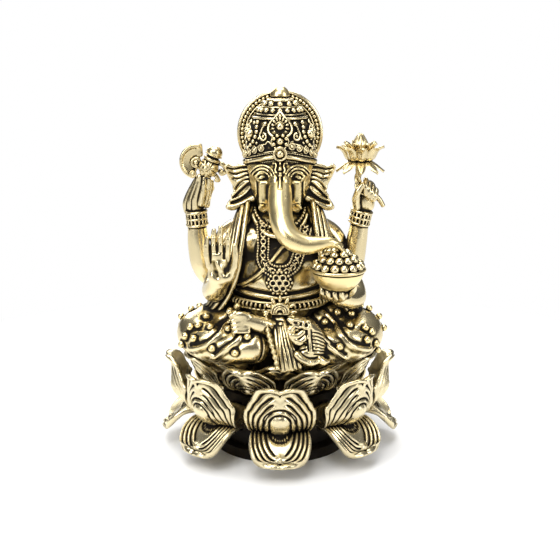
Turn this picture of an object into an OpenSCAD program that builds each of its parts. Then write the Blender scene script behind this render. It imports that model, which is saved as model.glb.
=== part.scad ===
// Seated elephant-headed deity on a double lotus, cast in brass and assembled from separate pieces.
// Front is -Y, up is +Z, and the origin is the centre of the underside. Millimetres.

/* [Lotus base] */
// Radius of the petal tips
lotus_r = 60; // [58:0.5:61]
// Height of the seat above the ground
seat_z = 50; // [49:0.5:52]
// Distance from the axis to a flat of the eight-sided drum
drum_flat = 28; // [27:0.5:29]
// Thickness of a petal
petal_t = 2.4; // [1.8:0.2:2.8]
// Diameter of the pegs that locate the petals
peg_d = 4; // [3:0.5:4]

/* [Fasteners] */
// Shank diameter of the screw that holds the figure
screw_d = 6; // [5:0.5:6]
// Head diameter of that screw
screw_head_d = 11; // [10:0.5:12]
// Outer diameter of its washer
washer_d = 15; // [14:0.5:16]

/* [Figure] */
// Diameter of the pegs that locate head, crown and arms
tenon_d = 5; // [4:0.5:6]
// Diameter of the round studs on the dhoti
stud_d = 3.4; // [2.8:0.2:3.8]
// Diameter of one ball sweet
sweet_d = 4.2; // [3.8:0.1:4.2]
// Rim radius of the bowl
bowl_r = 13; // [12.5:0.5:13]
// Radius of the round disc behind the crown
halo_r = 21; // [19:0.5:22]
// Diameter of the beads in the neck strings
bead_d = 2; // [1.6:0.2:2.2]

/* [Hidden] */
$fn = 32;
PETALS = 8;
turn = 360 / PETALS;

// ---- drum ----
foot_r = 34;
foot_h = 5;
drum_top = 30;
stage_h = 9;
stage_flat = 24;
top_flat = 20;
pocket_h = 9;
washer_t = 1.4;
head_h = 4;
hex_r = 2.8;
screw_play = 0.6;
// How far the screw reaches up into the figure
screw_bite = 12;
peg_len = 6;

// Petal centre lines, from root to tip, as [radius, height]
lower_line = [[drum_flat, 12], [37, 17], [45, 15], [51, 9], [56, 6.5], [lotus_r, 10.5]];
middle_line = [[drum_flat, 23], [37, 22], [47, 24], [54, 31], [58, 39], [lotus_r, 46]];
upper_line = [[stage_flat, 35], [32, 35], [40, 37], [45, 42], [47.5, 46.5], [48.5, 48.5]];
inner_line = [[top_flat, 43.5], [27, 42], [34, 41.5], [39.5, 44], [41.5, 47], [42.5, 49.2]];

// ---- figure, with heights above the seat ----
// Torso sections: height, centre y, half width, half depth
torso_rings = [
    [0, 1, 22, 15], [8, 0, 26, 18], [18, -2, 25.5, 21], [28, -4, 24.5, 23], [42, -5, 23.5, 24.5],
    [52, -3, 22.5, 21], [61, 0, 23.5, 14.5], [66, 1.5, 20, 11], [70, 1.5, 11, 8.5], [72, 1, 9, 7.5]
];
// Head sections
head_rings = [
    [72, 0, 9, 7.5], [76, -5, 12.5, 11], [83, -8, 15, 14.5], [91, -8, 15.5, 16], [96, -7, 15, 15.5]
];
crown_z = 96;
crown_y = -7;
halo_z = 109;
halo_y = 5;
finial_z = 123;
total_z = 130;

// Limb routes, each point as [x, y, z, radius]
left_leg_path = [[-15, 1, 13, 12], [-28, -6, 12.5, 12.5], [-38, -15, 11.5, 11], [-35, -26, 9.5, 9.5],
    [-24, -33, 9, 8.7], [-13, -36, 9.5, 8]];
right_leg_path = [[15, 1, 13, 12], [28, -6, 12.5, 12.5], [38, -15, 11.5, 11], [35, -26, 9.5, 9.5],
    [24, -32, 9, 8.7], [6, -34, 8.5, 7.5]];
foot_path = [[-1, -31, 20, 4.6], [-7, -35, 22, 5], [-14, -37, 22.5, 4.6], [-21, -38, 23, 3.4]];
axe_arm_path = [[-17, 3, 60, 6.5], [-25, 4, 55, 6.5], [-31, 4, 44, 6.2], [-34, 3, 35, 5.8],
    [-37.5, 1, 42, 5.6], [-40, 0, 53, 4.9], [-41, 0, 62, 4.3], [-41.5, 0, 68, 4.2]];
lotus_arm_path = [[17, 3, 60, 6.5], [25, 4, 55, 6.5], [31, 4, 44, 6.2], [33.5, 3, 36, 5.8],
    [35.5, 1, 43, 5.4], [37.5, 0, 53, 4.8], [39.5, 0, 62, 4.3], [40.5, 0, 68, 4.2]];
blessing_arm_path = [[-17, -5, 56, 6.5], [-25, -10, 48, 6.3], [-30, -13, 38, 6], [-32, -20, 33.5, 5.3],
    [-31, -27, 37, 4.6], [-29, -31, 42, 4.4]];
bowl_arm_path = [[17, -5, 56, 6.5], [26, -9, 47, 6.3], [33, -13, 37, 6], [36, -19, 31, 5.3],
    [33, -27, 30.5, 4.6], [27, -33, 31.5, 4]];
trunk_path = [[0, -20, 89, 6.6], [0, -25.5, 85, 6.2], [0, -30, 79, 5.4], [0.4, -34, 72.5, 5.2],
    [1.6, -38, 66.5, 5.3], [5.4, -41, 61.6, 5], [11.5, -42.5, 59.4, 4.4], [18, -43, 60, 3.3],
    [22.5, -42, 60.4, 2.2], [27, -40, 58.4, 1.5]];
left_shawl_path = [[-14, 3, 69, 3.2], [-20, -6, 66, 3.6], [-22.5, -13, 57, 3.8], [-24.5, -17, 46, 3.8],
    [-27.5, -17, 34, 4.2], [-33, -15, 24, 4.6]];
right_shawl_path = [[14, 3, 69, 3.2], [20, -6, 66, 3.6], [22.5, -13, 57, 3.8], [25, -17, 46, 3.8],
    [31, -19, 33, 4.2], [37, -17, 23, 4.6]];
sash_path = [[-1, -27.5, 26, 2.2], [-3, -36, 23, 2.4], [-4.5, -43, 16, 2.6], [-3.5, -45.5, 8, 2.8],
    [-1, -45, 1.5, 2.4]];
mouse_path = [[10, -41, 3.5, 4.4], [14, -40, 8, 5.6], [15, -39.5, 14, 5.4], [12.5, -41, 19.5, 4.6],
    [9, -43, 23, 3.2], [4.5, -45, 26, 1.4]];

bowl_c = [27, -37, 47.5];
bowl_h = 11;
bowl_wall = 1.4;
axe_c = [-41, -3, 94];
blade_r = 8.6;
ball_r = 5.2;
knob_r = 3.7;
flower_c = [39, -1, 91];

// Studs on each leg: [place along the leg, 0 at the hip to 1 at the foot; turn about the leg from the top]
left_studs = [[0.12, 48], [0.22, -8], [0.3, 60], [0.36, 12], [0.42, -22], [0.44, 38], [0.5, 66], [0.55, 18],
    [0.62, -20], [0.68, 30], [0.72, 62], [0.86, 24], [0.95, 70]];
right_studs = [[0.12, 48], [0.22, 4], [0.34, -20], [0.38, 30], [0.46, 8], [0.5, 50], [0.58, 20], [0.68, 45]];

// ---- curves ----
function unit(v) = v / norm(v);
function xyz(p) = [p[0], p[1], p[2]];
function blend4(a, b, c, d, t) =
    0.5 * (2 * b + (c - a) * t + (2 * a - 5 * b + 4 * c - d) * t * t + (3 * b - a - 3 * c + d) * t * t * t);
// Smooth curve through every point of p, with n steps between neighbours
function spline(p, n) = concat(
    [for (i = [0:len(p) - 2], k = [0:n - 1])
        blend4(p[max(i - 1, 0)], p[i], p[i + 1], p[min(i + 2, len(p) - 1)], k / n)],
    [p[len(p) - 1]]);
// Direction of a curve at point i
function heading(p, i) = unit(xyz(p[min(i + 1, len(p) - 1)]) - xyz(p[max(i - 1, 0)]));
function side_of(t, up) = unit(cross(t, up));
// Point at part u of a route's length, with its radius
function along(p, u) =
    let(s = u * (len(p) - 1), i = min(floor(s), len(p) - 2))
    blend4(p[max(i - 1, 0)], p[i], p[i + 1], p[min(i + 2, len(p) - 1)], s - i);

// ---- solids from rings of points ----
// Closed skin over equal rings; the ends are capped, or joined to each other when looped
module skin(rings, looped = false) {
    n = len(rings[0]);
    m = len(rings);
    last = looped ? m - 1 : m - 2;
    walls = [for (i = [0:last], k = [0:n - 1])
        let(a = i * n, b = ((i + 1) % m) * n, q = (k + 1) % n)
        each [[a + k, a + q, b + q], [a + k, b + q, b + k]]];
    e = (m - 1) * n;
    caps = looped ? [] : [for (k = [0:n / 2 - 2]) let(a = k, b = k + 1, c = n - 2 - k, d = n - 1 - k)
        each [[a, c, b], [a, d, c], [e + a, e + b, e + c], [e + a, e + c, e + d]]];
    polyhedron(points = [for (r = rings) each r], faces = concat(walls, caps));
}

// Round limb along a route of [x, y, z, radius]
module limb(path, sides = 12, steps = 3, up = [0, 0.2, 1]) {
    p = spline(path, steps);
    skin([for (i = [0:len(p) - 1])
        let(t = heading(p, i), s = side_of(t, up), v = cross(t, s))
        [for (k = [0:sides - 1])
            xyz(p[i]) + p[i][3] * (cos(360 * k / sides) * s - sin(360 * k / sides) * v)]]);
}

// Body with elliptical sections [height, centre y, half width, half depth]
module loft(sections, sides = 28) {
    skin([for (r = sections)
        [for (k = [0:sides - 1])
            [r[2] * cos(-360 * k / sides), r[1] + r[3] * sin(-360 * k / sides), r[0]]]]);
}

// String of round section through a list of points
module cord(points, r, sides = 8, looped = false) {
    m = len(points);
    skin([for (i = [0:m - 1])
        let(a = looped ? points[(i + m - 1) % m] : points[max(i - 1, 0)],
            b = looped ? points[(i + 1) % m] : points[min(i + 1, m - 1)],
            t = unit(b - a), s = side_of(t, [0.05, -1, 0.1]), v = cross(t, s))
        [for (k = [0:sides - 1])
            points[i] + r * (cos(360 * k / sides) * s - sin(360 * k / sides) * v)]], looped);
}

// Two-point capsule, a finger or a fold
module bone(a, b, ra, rb, facets = 6) {
    hull() {
        translate(a) sphere(r = ra, $fn = facets);
        translate(b) sphere(r = rb, $fn = facets);
    }
}

module on_seat() { translate([0, 0, seat_z]) children(); }

// Place on the torso's surface: height, turn from the front, distance off the skin
function section(z, i) = lookup(z, [for (r = torso_rings) [r[0], r[i]]]);
function on_torso(z, a, off) =
    [(section(z, 2) + off) * sin(a), section(z, 1) - (section(z, 3) + off) * cos(a), z];

// ---- lotus base ----
// One petal as a closed shell. It starts flat on a drum face and curls up to a point.
module petal(line, half_w, cup, tip, thick, steps = 2) {
    across = 4;
    widest = 0.6;
    root = 0.45;
    c = spline(line, steps);
    m = len(c) - 1;
    function width(u) = half_w * (u < widest
        ? root + (1 - root) * sin(90 * u / widest)
        : max(tip, sqrt(1 - pow((u - widest) / (1.02 - widest), 2))));
    function lean(i) = let(d = unit(c[min(i + 1, m)] - c[max(i - 1, 0)])) [-d[1], d[0]];
    function spot(i, v, t) =
        let(u = i / m, w = width(u), k = lean(i),
            rise = cup * v * v * sin(min(180 * u, 120)), d = t * (1 - 0.5 * v * v))
        i == 0 ? [w * v, -c[0][0], c[0][1] + t]
               : [w * v, -(c[i][0] + k[0] * (rise + d)), c[i][1] + k[1] * (rise + d)];
    skin([for (i = [0:m]) concat(
        [for (j = [0:across]) spot(i, -1 + 2 * j / across, thick)],
        [for (j = [0:across]) spot(i, 1 - 2 * j / across, 0)])]);
}

module peg_out(flat, z) {
    translate([0, -flat - 1, z]) rotate([-90, 0, 0]) cylinder(d = peg_d, h = peg_len + 1);
}

module lower_petal(i) {
    color("darkgoldenrod") rotate(turn * (i - 1)) {
        petal(lower_line, 16, 4, 0.3, petal_t);
        peg_out(drum_flat, lower_line[0][1] + petal_t / 2);
    }
}

module middle_petal(i) {
    color("goldenrod") rotate(turn * (i - 1)) {
        petal(middle_line, 17, 8, 0.2, petal_t);
        peg_out(drum_flat, middle_line[0][1] + petal_t / 2);
    }
}

module octagon(flat, h) { rotate(turn / 2) cylinder(r = flat / cos(turn / 2), h = h, $fn = PETALS); }

module lotus_drum() {
    color("olive") difference() {
        union() {
            cylinder(r = foot_r, h = foot_h);
            octagon(drum_flat, drum_top);
        }
        cylinder(d = screw_d + screw_play, h = drum_top + 1);
        translate([0, 0, -1]) cylinder(d = washer_d + 1, h = pocket_h + 1);
        for (i = [0:PETALS - 1], line = [lower_line, middle_line]) rotate(turn * i)
            translate([0, 0.001, 0]) peg_out(drum_flat, line[0][1] + petal_t / 2);
    }
}

module seat_disc() {
    color("olive") difference() {
        union() {
            translate([0, 0, drum_top]) rotate(turn / 2) octagon(stage_flat, stage_h + 2);
            translate([0, 0, drum_top + stage_h]) octagon(top_flat, seat_z - drum_top - stage_h);
        }
        translate([0, 0, drum_top - 1]) cylinder(d = screw_d + screw_play, h = seat_z);
    }
}

module mounting_screw() {
    reach = seat_z - pocket_h + washer_t + screw_bite;
    color("silver") translate([0, 0, pocket_h - washer_t]) {
        cylinder(d = screw_d, h = reach);
        translate([0, 0, -head_h]) difference() {
            cylinder(d = screw_head_d, h = head_h);
            translate([0, 0, -1]) cylinder(r = hex_r, h = 3, $fn = 6);
        }
    }
}

module mounting_washer() {
    color("silver") translate([0, 0, pocket_h - washer_t]) difference() {
        cylinder(d = washer_d, h = washer_t);
        translate([0, 0, -1]) cylinder(d = screw_d + 0.4, h = washer_t + 2);
    }
}

module upper_petals() {
    color("goldenrod") for (i = [0:PETALS - 1])
        rotate(turn * (i + 0.5)) petal(upper_line, 13, 4, 0.2, petal_t * 0.8, 1);
}

module inner_petals() {
    color("goldenrod") for (i = [0:PETALS - 1])
        rotate(turn * i) petal(inner_line, 12, 3, 0.2, petal_t * 0.7, 1);
}

// ---- figure ----
module torso_form() { loft(torso_rings); }
module head_form() { loft(head_rings); }

module neck_tenon() { translate([0, -1, 66]) cylinder(d = tenon_d, h = 14); }

module torso() {
    color("tan") on_seat() difference() {
        torso_form();
        translate([0, 0, -1]) cylinder(d = screw_d, h = screw_bite + 1);
        neck_tenon();
    }
}

// Cloth gathered along the underside of a leg
module hem(path) {
    folds = 8;
    pitch = 0.11;
    drop = [0, 0, 6];
    for (k = [0:folds - 1])
        bone(xyz(along(path, 0.1 + k * pitch)) - drop, xyz(along(path, 0.2 + k * pitch)) - drop, 4, 4);
}

module below_seat() { translate([0, 0, -20]) cylinder(r = 80, h = 20); }

// A leg under its cloth, cut where the torso and the other leg stand
module left_leg() {
    color("peru") on_seat() difference() {
        union() {
            limb(left_leg_path, 16);
            hem(left_leg_path);
        }
        torso_form();
        below_seat();
    }
}

module right_leg() {
    color("peru") on_seat() difference() {
        union() {
            limb(right_leg_path, 16);
            hem(right_leg_path);
        }
        torso_form();
        limb(left_leg_path, 16);
        below_seat();
    }
}

module foot() {
    color("gold") on_seat() difference() {
        union() {
            limb(foot_path, 12);
            for (k = [0:4])
                bone([-20, -38, 20.6 + k * 1.3], [-23.6 + k * 0.3, -38.6, 20.2 + k * 1.6], 1.5, 1.2);
            for (k = [0:2]) bone([-2, -31, 19 + k], [-5, -34, 21 + k], 4, 4);
        }
        limb(left_leg_path, 16);
        limb(right_leg_path, 16);
        torso_form();
    }
}

module front_sash() {
    edge = [2.4, 0, 0];
    color("darkgoldenrod") on_seat() difference() {
        union() {
            limb(sash_path, 10, 3, [1, 0, 0.1]);
            for (k = [0:7])
                bone(xyz(along(sash_path, k / 8)) + edge, xyz(along(sash_path, (k + 1) / 8)) + edge,
                    1.3, 1.3);
        }
        limb(left_leg_path, 16);
        limb(right_leg_path, 16);
        torso_form();
        limb(foot_path, 12);
    }
}

// Round stud seated on a leg
module stud(path, u, a) {
    p = along(path, u);
    q = along(path, min(u + 0.03, 1));
    o = along(path, max(u - 0.03, 0));
    t = unit(xyz(q) - xyz(o));
    s = side_of(t, [0, 0, 1]);
    out_sign = s[1] < 0 || (abs(s[1]) < 0.3 && s[0] * p[0] > 0) ? 1 : -1;
    d = unit(cos(a) * [0, 0, 1] + sin(a) * out_sign * s);
    translate(xyz(p) + (p[3] + 0.1) * d)
        rotate([0, acos(d[2]), atan2(d[1], d[0])])
        rotate_extrude() intersection() {
            circle(d = stud_d);
            square(stud_d);
        }
}

module dhoti_studs() {
    color("gold") on_seat() {
        for (s = left_studs) stud(left_leg_path, s[0], s[1]);
        for (s = right_studs) stud(right_leg_path, s[0], s[1]);
    }
}

belt_r = 1.7;
module belt() {
    color("olive") on_seat()
        cord([for (a = [0:12:348]) on_torso(29 - 2 * max(0, cos(a)), a, belt_r + 0.1)], belt_r, 10, true);
}

module belt_buckle() {
    rays = 7;
    back = section(26, 1) - section(26, 3) - 2 * belt_r - 0.3;
    color("gold") on_seat() translate([0, back, 25.5]) rotate([90, 0, 0]) {
        intersection() {
            cylinder(r = 3.6, h = 1.4);
            translate([-5, -0.8, 0]) cube([10, 6, 3]);
        }
        for (k = [0:rays - 1]) rotate(15 + 150 * k / (rays - 1))
            translate([3, -0.55, 0]) cube([3.6, 1.1, 0.9]);
    }
}

module shawl(path) {
    sign = path[0][0] < 0 ? -1 : 1;
    limb(path, 12, 3, [0, 1, 0.2]);
    for (f = [-1, 1], k = [0:4])
        bone(xyz(along(path, k / 5)) + [f * 3, 0, 0], xyz(along(path, (k + 1) / 5)) + [f * 3.4, 0, 0],
            2, 2.2);
}

module shawl_left() {
    color("sienna") on_seat() difference() {
        shawl(left_shawl_path);
        torso_form();
        limb(left_leg_path, 16);
        limb(blessing_arm_path);
        limb(axe_arm_path);
    }
}

module shawl_right() {
    color("sienna") on_seat() difference() {
        shawl(right_shawl_path);
        torso_form();
        limb(right_leg_path, 16);
        limb(bowl_arm_path);
        limb(lotus_arm_path);
    }
}

thread_r = 0.8;
module sacred_thread() {
    color("gold") on_seat()
        cord([for (a = [0:12:348]) on_torso(46 + 14 * sin(a), a, thread_r + 0.1)], thread_r, 8, true);
}

collar_r = 1.2;
module collar() {
    color("gold") on_seat()
        cord([for (a = [0:12:348]) on_torso(64.6 - 3.6 * cos(a), a, collar_r + 0.1)], collar_r, 8, true);
}

// Long bead string: turn from the front and height above the seat
garland_line = [[-38, 63], [-37, 57], [-31, 50], [-20, 45], [-8, 44],
    [8, 44], [20, 45], [31, 50], [37, 57], [38, 63]];
module garland() {
    color("olive") on_seat()
        cord([for (q = spline(garland_line, 3)) on_torso(q[1], q[0], bead_d / 2 + 0.1)], bead_d / 2, 8);
}

module pendant() {
    gem_r = 2.5;
    pitch = 5.2;
    z = 41;
    back = section(z, 1) - section(z, 3);
    color("gold") on_seat() translate([0, back - bead_d / 2, z - 2]) rotate([90, 0, 0]) {
        cylinder(r = gem_r, h = 1.8);
        for (k = [0:5]) rotate(60 * k + 30) translate([pitch, 0, -0.4]) cylinder(r = gem_r, h = 1.8);
    }
}

module ear_root(s) { translate([s * 12, -6, 86]) rotate([0, 90, 0]) cylinder(d = 3, h = 8, center = true); }

module head() {
    color("tan") on_seat() {
        difference() {
            head_form();
            for (s = [-1, 1]) ear_root(s);
            translate([0, crown_y, crown_z - 6]) cylinder(d = tenon_d, h = 10);
        }
        neck_tenon();
    }
}

module trunk() {
    color("gold") on_seat() difference() {
        union() {
            limb(trunk_path, 16);
            for (s = [-1, 1], k = [0:3]) bone([s * 3.4, -25, 87 - k], [s * 2, -27, 83 - k], 2.6, 2.6);
        }
        head_form();
    }
}

// Fan-shaped ear with an upper and a lower lobe
module ear(s) {
    facets = 6;
    hull() for (p = [[13, -8, 92], [24.5, -4, 90.5], [21, -5, 83], [13, -8, 84]])
        translate([s * p[0], p[1], p[2]]) sphere(r = 1.5, $fn = facets);
    hull() for (p = [[13, -8, 86], [21, -5, 82], [23.5, -4, 73], [13, -8, 76]])
        translate([s * p[0], p[1], p[2]]) sphere(r = 1.5, $fn = facets);
    for (k = [0:5]) bone([s * 14, -8.6, 78 + 2.4 * k], [s * 22.5, -5.5, 75 + 3 * k], 1, 0.8, facets);
    ear_root(s);
}

module left_ear() { color("goldenrod") on_seat() difference() { ear(-1); ear_cut(); } }
module right_ear() { color("goldenrod") on_seat() difference() { ear(1); ear_cut(); } }
module ear_cut() {
    difference() {
        head_form();
        for (s = [-1, 1]) ear_root(s);
    }
}

module tusks() {
    color("ivory") on_seat() for (s = [-1, 1])
        translate([s * 7.4, -21.5, 79]) rotate([-140, 0, 0]) rotate([0, s * 14, 0])
            cylinder(r1 = 1.9, r2 = 0.7, h = 8);
}

module crown() {
    color("gold") on_seat() translate([0, crown_y, crown_z]) {
        rotate_extrude() polygon([[0, 0], [16.6, 0], [17, 1.5], [16.2, 3], [16.2, 6.5], [15.2, 8], [15.4, 13],
            [13.6, 15], [13, 19], [9.6, 21], [8.4, 25], [5.2, 27], [0, 27]]);
        translate([0, 0, -5.5]) cylinder(d = tenon_d, h = 6);
    }
}

module crown_halo() {
    color("goldenrod") on_seat() difference() {
        translate([0, halo_y, halo_z]) rotate([90, 0, 0]) {
            cylinder(r = halo_r - 1, h = 2.4, center = true);
            rotate_extrude() translate([halo_r - 1.1, 0]) circle(r = 1.1, $fn = 20);
            rotate_extrude() translate([halo_r - 4.8, 1]) circle(r = 1, $fn = 20);
        }
        translate([0, crown_y, crown_z - 1]) cylinder(r = 10.4, h = 40);
    }
}

module crown_finial() {
    color("gold") on_seat() translate([0, crown_y + 7, finial_z]) rotate_extrude()
        polygon(concat([[0, 0], [6, 0], [6, 0.8], [4.7, 1.2]],
            [for (a = [0:15:90]) [4.7 * cos(a), 2 + (total_z - finial_z - 2) * sin(a)]]));
}

module crown_medallion() {
    color("gold") on_seat() translate([0, crown_y - 15.6, crown_z + 10]) rotate([100, 0, 0]) {
        cylinder(r = 5.4, h = 2);
        translate([0, 0, 2]) cylinder(r1 = 4.4, r2 = 1.6, h = 1.4);
        for (k = [0:11]) rotate(30 * k) translate([4.5, 0, 2]) cylinder(r = 0.8, h = 0.8);
        translate([0, 5, 0]) cylinder(r1 = 2.6, r2 = 1.8, h = 2);
    }
}

// Closed hand around an upright grip
module fist(c, s) {
    translate(c) {
        bone([0, 1.5, -5], [s * 0.5, 1.5, 4], 4.4, 4.6, 12);
        for (k = [0:3]) {
            bone([-s * 4, -1, -4 + 2.6 * k], [-s * 4.6, -4.6, -3.8 + 2.6 * k], 1.6, 1.5);
            bone([-s * 4.6, -4.6, -3.8 + 2.6 * k], [-s * 0.5, -5.6, -3.4 + 2.6 * k], 1.5, 1.3);
        }
        bone([s * 3.6, 0, -2], [s * 2.6, -4.6, 4.4], 2, 1.5);
    }
}

axe_grip = [-42, 0, 77];
lotus_grip = [41.5, 0, 77];
// Where a grip runs through the fist, from the middle of the fist
grip_shift = [0, -2.4, 0];
grip_r = 1.7;
axe_lean = 6;
lotus_lean = -8;
module grip_hole(c, lean) {
    translate(c + grip_shift) rotate([0, lean, 0]) cylinder(r = grip_r, h = 24, center = true);
}
module grip(c, lean, h) {
    translate(c + grip_shift) rotate([0, lean, 0]) translate([0, 0, -10])
        cylinder(r = grip_r - 0.05, h = h);
}

module axe_arm() {
    color("tan") on_seat() difference() {
        union() {
            limb(axe_arm_path);
            fist(axe_grip, -1);
        }
        torso_form();
        grip_hole(axe_grip, axe_lean);
    }
}

module lotus_arm() {
    color("tan") on_seat() difference() {
        union() {
            limb(lotus_arm_path);
            fist(lotus_grip, 1);
        }
        torso_form();
        grip_hole(lotus_grip, lotus_lean);
    }
}

module blessing_arm() {
    fingers = [[-32.5, 66.5], [-30.2, 68.6], [-27.8, 69], [-25.4, 67.6]];
    color("tan") on_seat() difference() {
        union() {
            limb(blessing_arm_path);
            bone([-29, -32.5, 44], [-28.5, -36, 53], 5, 4.6, 12);
            for (f = fingers) {
                bone([f[0] + 0.4, -36, 54], [f[0], -37.5, 61], 1.8, 1.7);
                bone([f[0], -37.5, 61], [f[0], -37.5, f[1]], 1.7, 1.3);
            }
            bone([-25, -35, 49], [-21.8, -37.5, 57.5], 2.4, 1.7);
        }
        torso_form();
    }
}

module bowl_form() {
    translate(bowl_c) rotate_extrude() polygon(concat(
        [[0, -bowl_h]], [for (a = [10:20:90]) [bowl_r * pow(sin(a), 0.8), -bowl_h * cos(a)]], [[0, 0]]));
}

module bowl_arm() {
    color("tan") on_seat() difference() {
        union() {
            limb(bowl_arm_path);
            bone([29, -33, 32.5], [26, -37, 33.5], 4, 4, 12);
            for (k = [0:3]) {
                bone([27 - k * 2.6, -38, 34], [24 - k * 2.4, -42.5, 35.5], 1.7, 1.6);
                bone([24 - k * 2.4, -42.5, 35.5], [22.5 - k * 2, -45, 38.5], 1.6, 1.3);
            }
        }
        torso_form();
        bowl_form();
    }
}

module bracelet(path, u) {
    p = along(path, u);
    q = along(path, u + 0.05);
    t = unit(xyz(q) - xyz(p));
    color("gold") on_seat() translate(xyz(p)) rotate([0, acos(t[2]), atan2(t[1], t[0])]) difference() {
        union() {
            cylinder(r = p[3] + 1.2, h = 7.4, center = true);
            for (k = [-1, 0, 1]) translate([0, 0, 3 * k]) cylinder(r = p[3] + 1.8, h = 1.1, center = true);
        }
        cylinder(r = p[3] + 0.15, h = 12, center = true);
    }
}
module axe_arm_bracelet() { bracelet(axe_arm_path, 0.88); }
module lotus_arm_bracelet() { bracelet(lotus_arm_path, 0.88); }

module axe() {
    color("gold") on_seat() {
        grip(axe_grip, axe_lean, 26);
        translate(axe_c) rotate([90, 0, 0]) difference() {
            cylinder(r = blade_r, h = 2.2, center = true);
            rotate(-35) translate([0.5, -20, -5]) cube([40, 40, 10]);
        }
        translate(axe_c + [7, -3, -3]) sphere(r = ball_r);
        translate(axe_c + [7.6, -3, 0.5]) rotate([0, 20, 0]) cylinder(r = 2.4, h = 4);
        translate(axe_c + [9.4, -3, 4.4]) sphere(r = knob_r);
        translate(axe_c + [12.6, -1, -5]) rotate([90, 0, 0]) cylinder(r = 2, h = 3);
    }
}

// Pointed blade of the flower through three points [reach, height, radius]
module blade(p) {
    hull() for (q = p) translate([q[0], 0, q[1]]) sphere(r = q[2], $fn = 8);
}

module lotus_flower() {
    blades = 6;
    color("gold") on_seat() {
        grip(lotus_grip, lotus_lean, 22);
        translate(flower_c) {
            sphere(r = 3.4);
            for (k = [0:blades - 1]) rotate(k * 360 / blades) {
                blade([[1.5, 1, 1.6], [5.8, 4, 2.2], [8.8, 9.4, 0.6]]);
                rotate(180 / blades) blade([[2, -1, 1.3], [7, -2, 2], [11, -4, 0.6]]);
            }
            for (k = [0:2]) rotate(k * 120 + 30) blade([[0.5, 2, 1.5], [2.6, 8, 1.6], [2.2, 14.4, 0.6]]);
        }
    }
}

module bowl() {
    color("gold") on_seat() difference() {
        bowl_form();
        translate(bowl_c + [0, 0, -bowl_wall]) cylinder(r = bowl_r - bowl_wall, h = 4);
    }
}

// Ball sweets heaped in rings: count, ring radius, height above the lowest ring, first turn
sweet_rings = [[12, 9.1, 0, 0], [6, 4.4, 0, 0], [8, 6.9, 3.7, 15], [4, 3.1, 6.3, 20]];
module sweets() {
    floor_z = -bowl_wall + sweet_d / 2;
    color("goldenrod") on_seat() translate(bowl_c)
        for (r = sweet_rings, k = [0:r[0] - 1])
            rotate(360 / r[0] * k + r[3]) translate([r[1], 0, floor_z + r[2]]) sphere(d = sweet_d);
}

module mouse() {
    color("gold") on_seat() difference() {
        union() {
            limb(mouse_path, 12, 3, [1, 0, 0.1]);
            for (s = [-1, 1]) {
                bone([11 + 3 * s, -43, 22], [11.6 + 4 * s, -42.4, 24], 1.6, 1.4);
                bone([10 + 2 * s, -44, 16], [6 + s, -46.5, 20], 1.6, 1.2);
                bone([13 + 4 * s, -42, 6], [11 + 5 * s, -45, 2.4], 2.8, 1.8);
                bone([12 + 4 * s, -45, 2.2], [8 + 5 * s, -47.5, 1.8], 1.8, 1.3);
            }
        }
        limb(right_leg_path, 16);
        below_seat();
    }
}

lotus_drum();
seat_disc();
mounting_screw();
mounting_washer();
for (i = [1:PETALS]) {
    lower_petal(i);
    middle_petal(i);
}
upper_petals();
inner_petals();
torso();
left_leg();
right_leg();
foot();
front_sash();
dhoti_studs();
belt();
belt_buckle();
shawl_left();
shawl_right();
sacred_thread();
collar();
garland();
pendant();
head();
trunk();
left_ear();
right_ear();
tusks();
crown();
crown_halo();
crown_finial();
crown_medallion();
axe_arm();
lotus_arm();
blessing_arm();
bowl_arm();
axe_arm_bracelet();
lotus_arm_bracelet();
axe();
lotus_flower();
bowl();
sweets();
mouse();
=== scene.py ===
import bmesh
import bpy
import math
import numpy as np
import openvdb
from mathutils import Matrix, Vector
from mathutils.kdtree import KDTree

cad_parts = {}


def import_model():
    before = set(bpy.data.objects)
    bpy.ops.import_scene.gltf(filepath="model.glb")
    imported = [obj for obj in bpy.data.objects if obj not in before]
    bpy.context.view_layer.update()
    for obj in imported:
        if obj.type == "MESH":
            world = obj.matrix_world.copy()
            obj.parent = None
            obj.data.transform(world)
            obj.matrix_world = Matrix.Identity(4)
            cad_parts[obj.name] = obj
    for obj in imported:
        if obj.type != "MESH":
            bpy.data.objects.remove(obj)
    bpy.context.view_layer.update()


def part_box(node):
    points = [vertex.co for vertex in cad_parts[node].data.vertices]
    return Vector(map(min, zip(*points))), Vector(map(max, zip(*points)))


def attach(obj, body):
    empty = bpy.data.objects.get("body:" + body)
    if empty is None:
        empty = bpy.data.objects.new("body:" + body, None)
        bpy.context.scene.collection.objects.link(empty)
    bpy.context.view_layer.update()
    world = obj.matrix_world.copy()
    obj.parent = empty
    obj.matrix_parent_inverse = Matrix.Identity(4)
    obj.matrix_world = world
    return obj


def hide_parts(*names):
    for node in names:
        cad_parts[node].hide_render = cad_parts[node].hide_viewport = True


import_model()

MM = 0.001
VOXEL = 0.36
FINE_VOXEL = 0.28
ARM_VOXEL = 0.32
# how far the mesher may merge faces where the skin is flat
COARSEN = 0.05
# distance kept in a clay's empty grid
FAR = 9.0
rng = np.random.default_rng(7)


# ---------------------------------------------------------------- frame helpers
def box_mm(node):
    """Lowest and highest corner of a CAD node, in millimetres."""
    lo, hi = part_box(node)
    return np.array(lo) / MM, np.array(hi) / MM


def vec(*v):
    return np.array(v, float)


SEAT = box_mm("seat_disc")[1][2]
SEAT_UP = vec(0, 0, SEAT)


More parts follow.
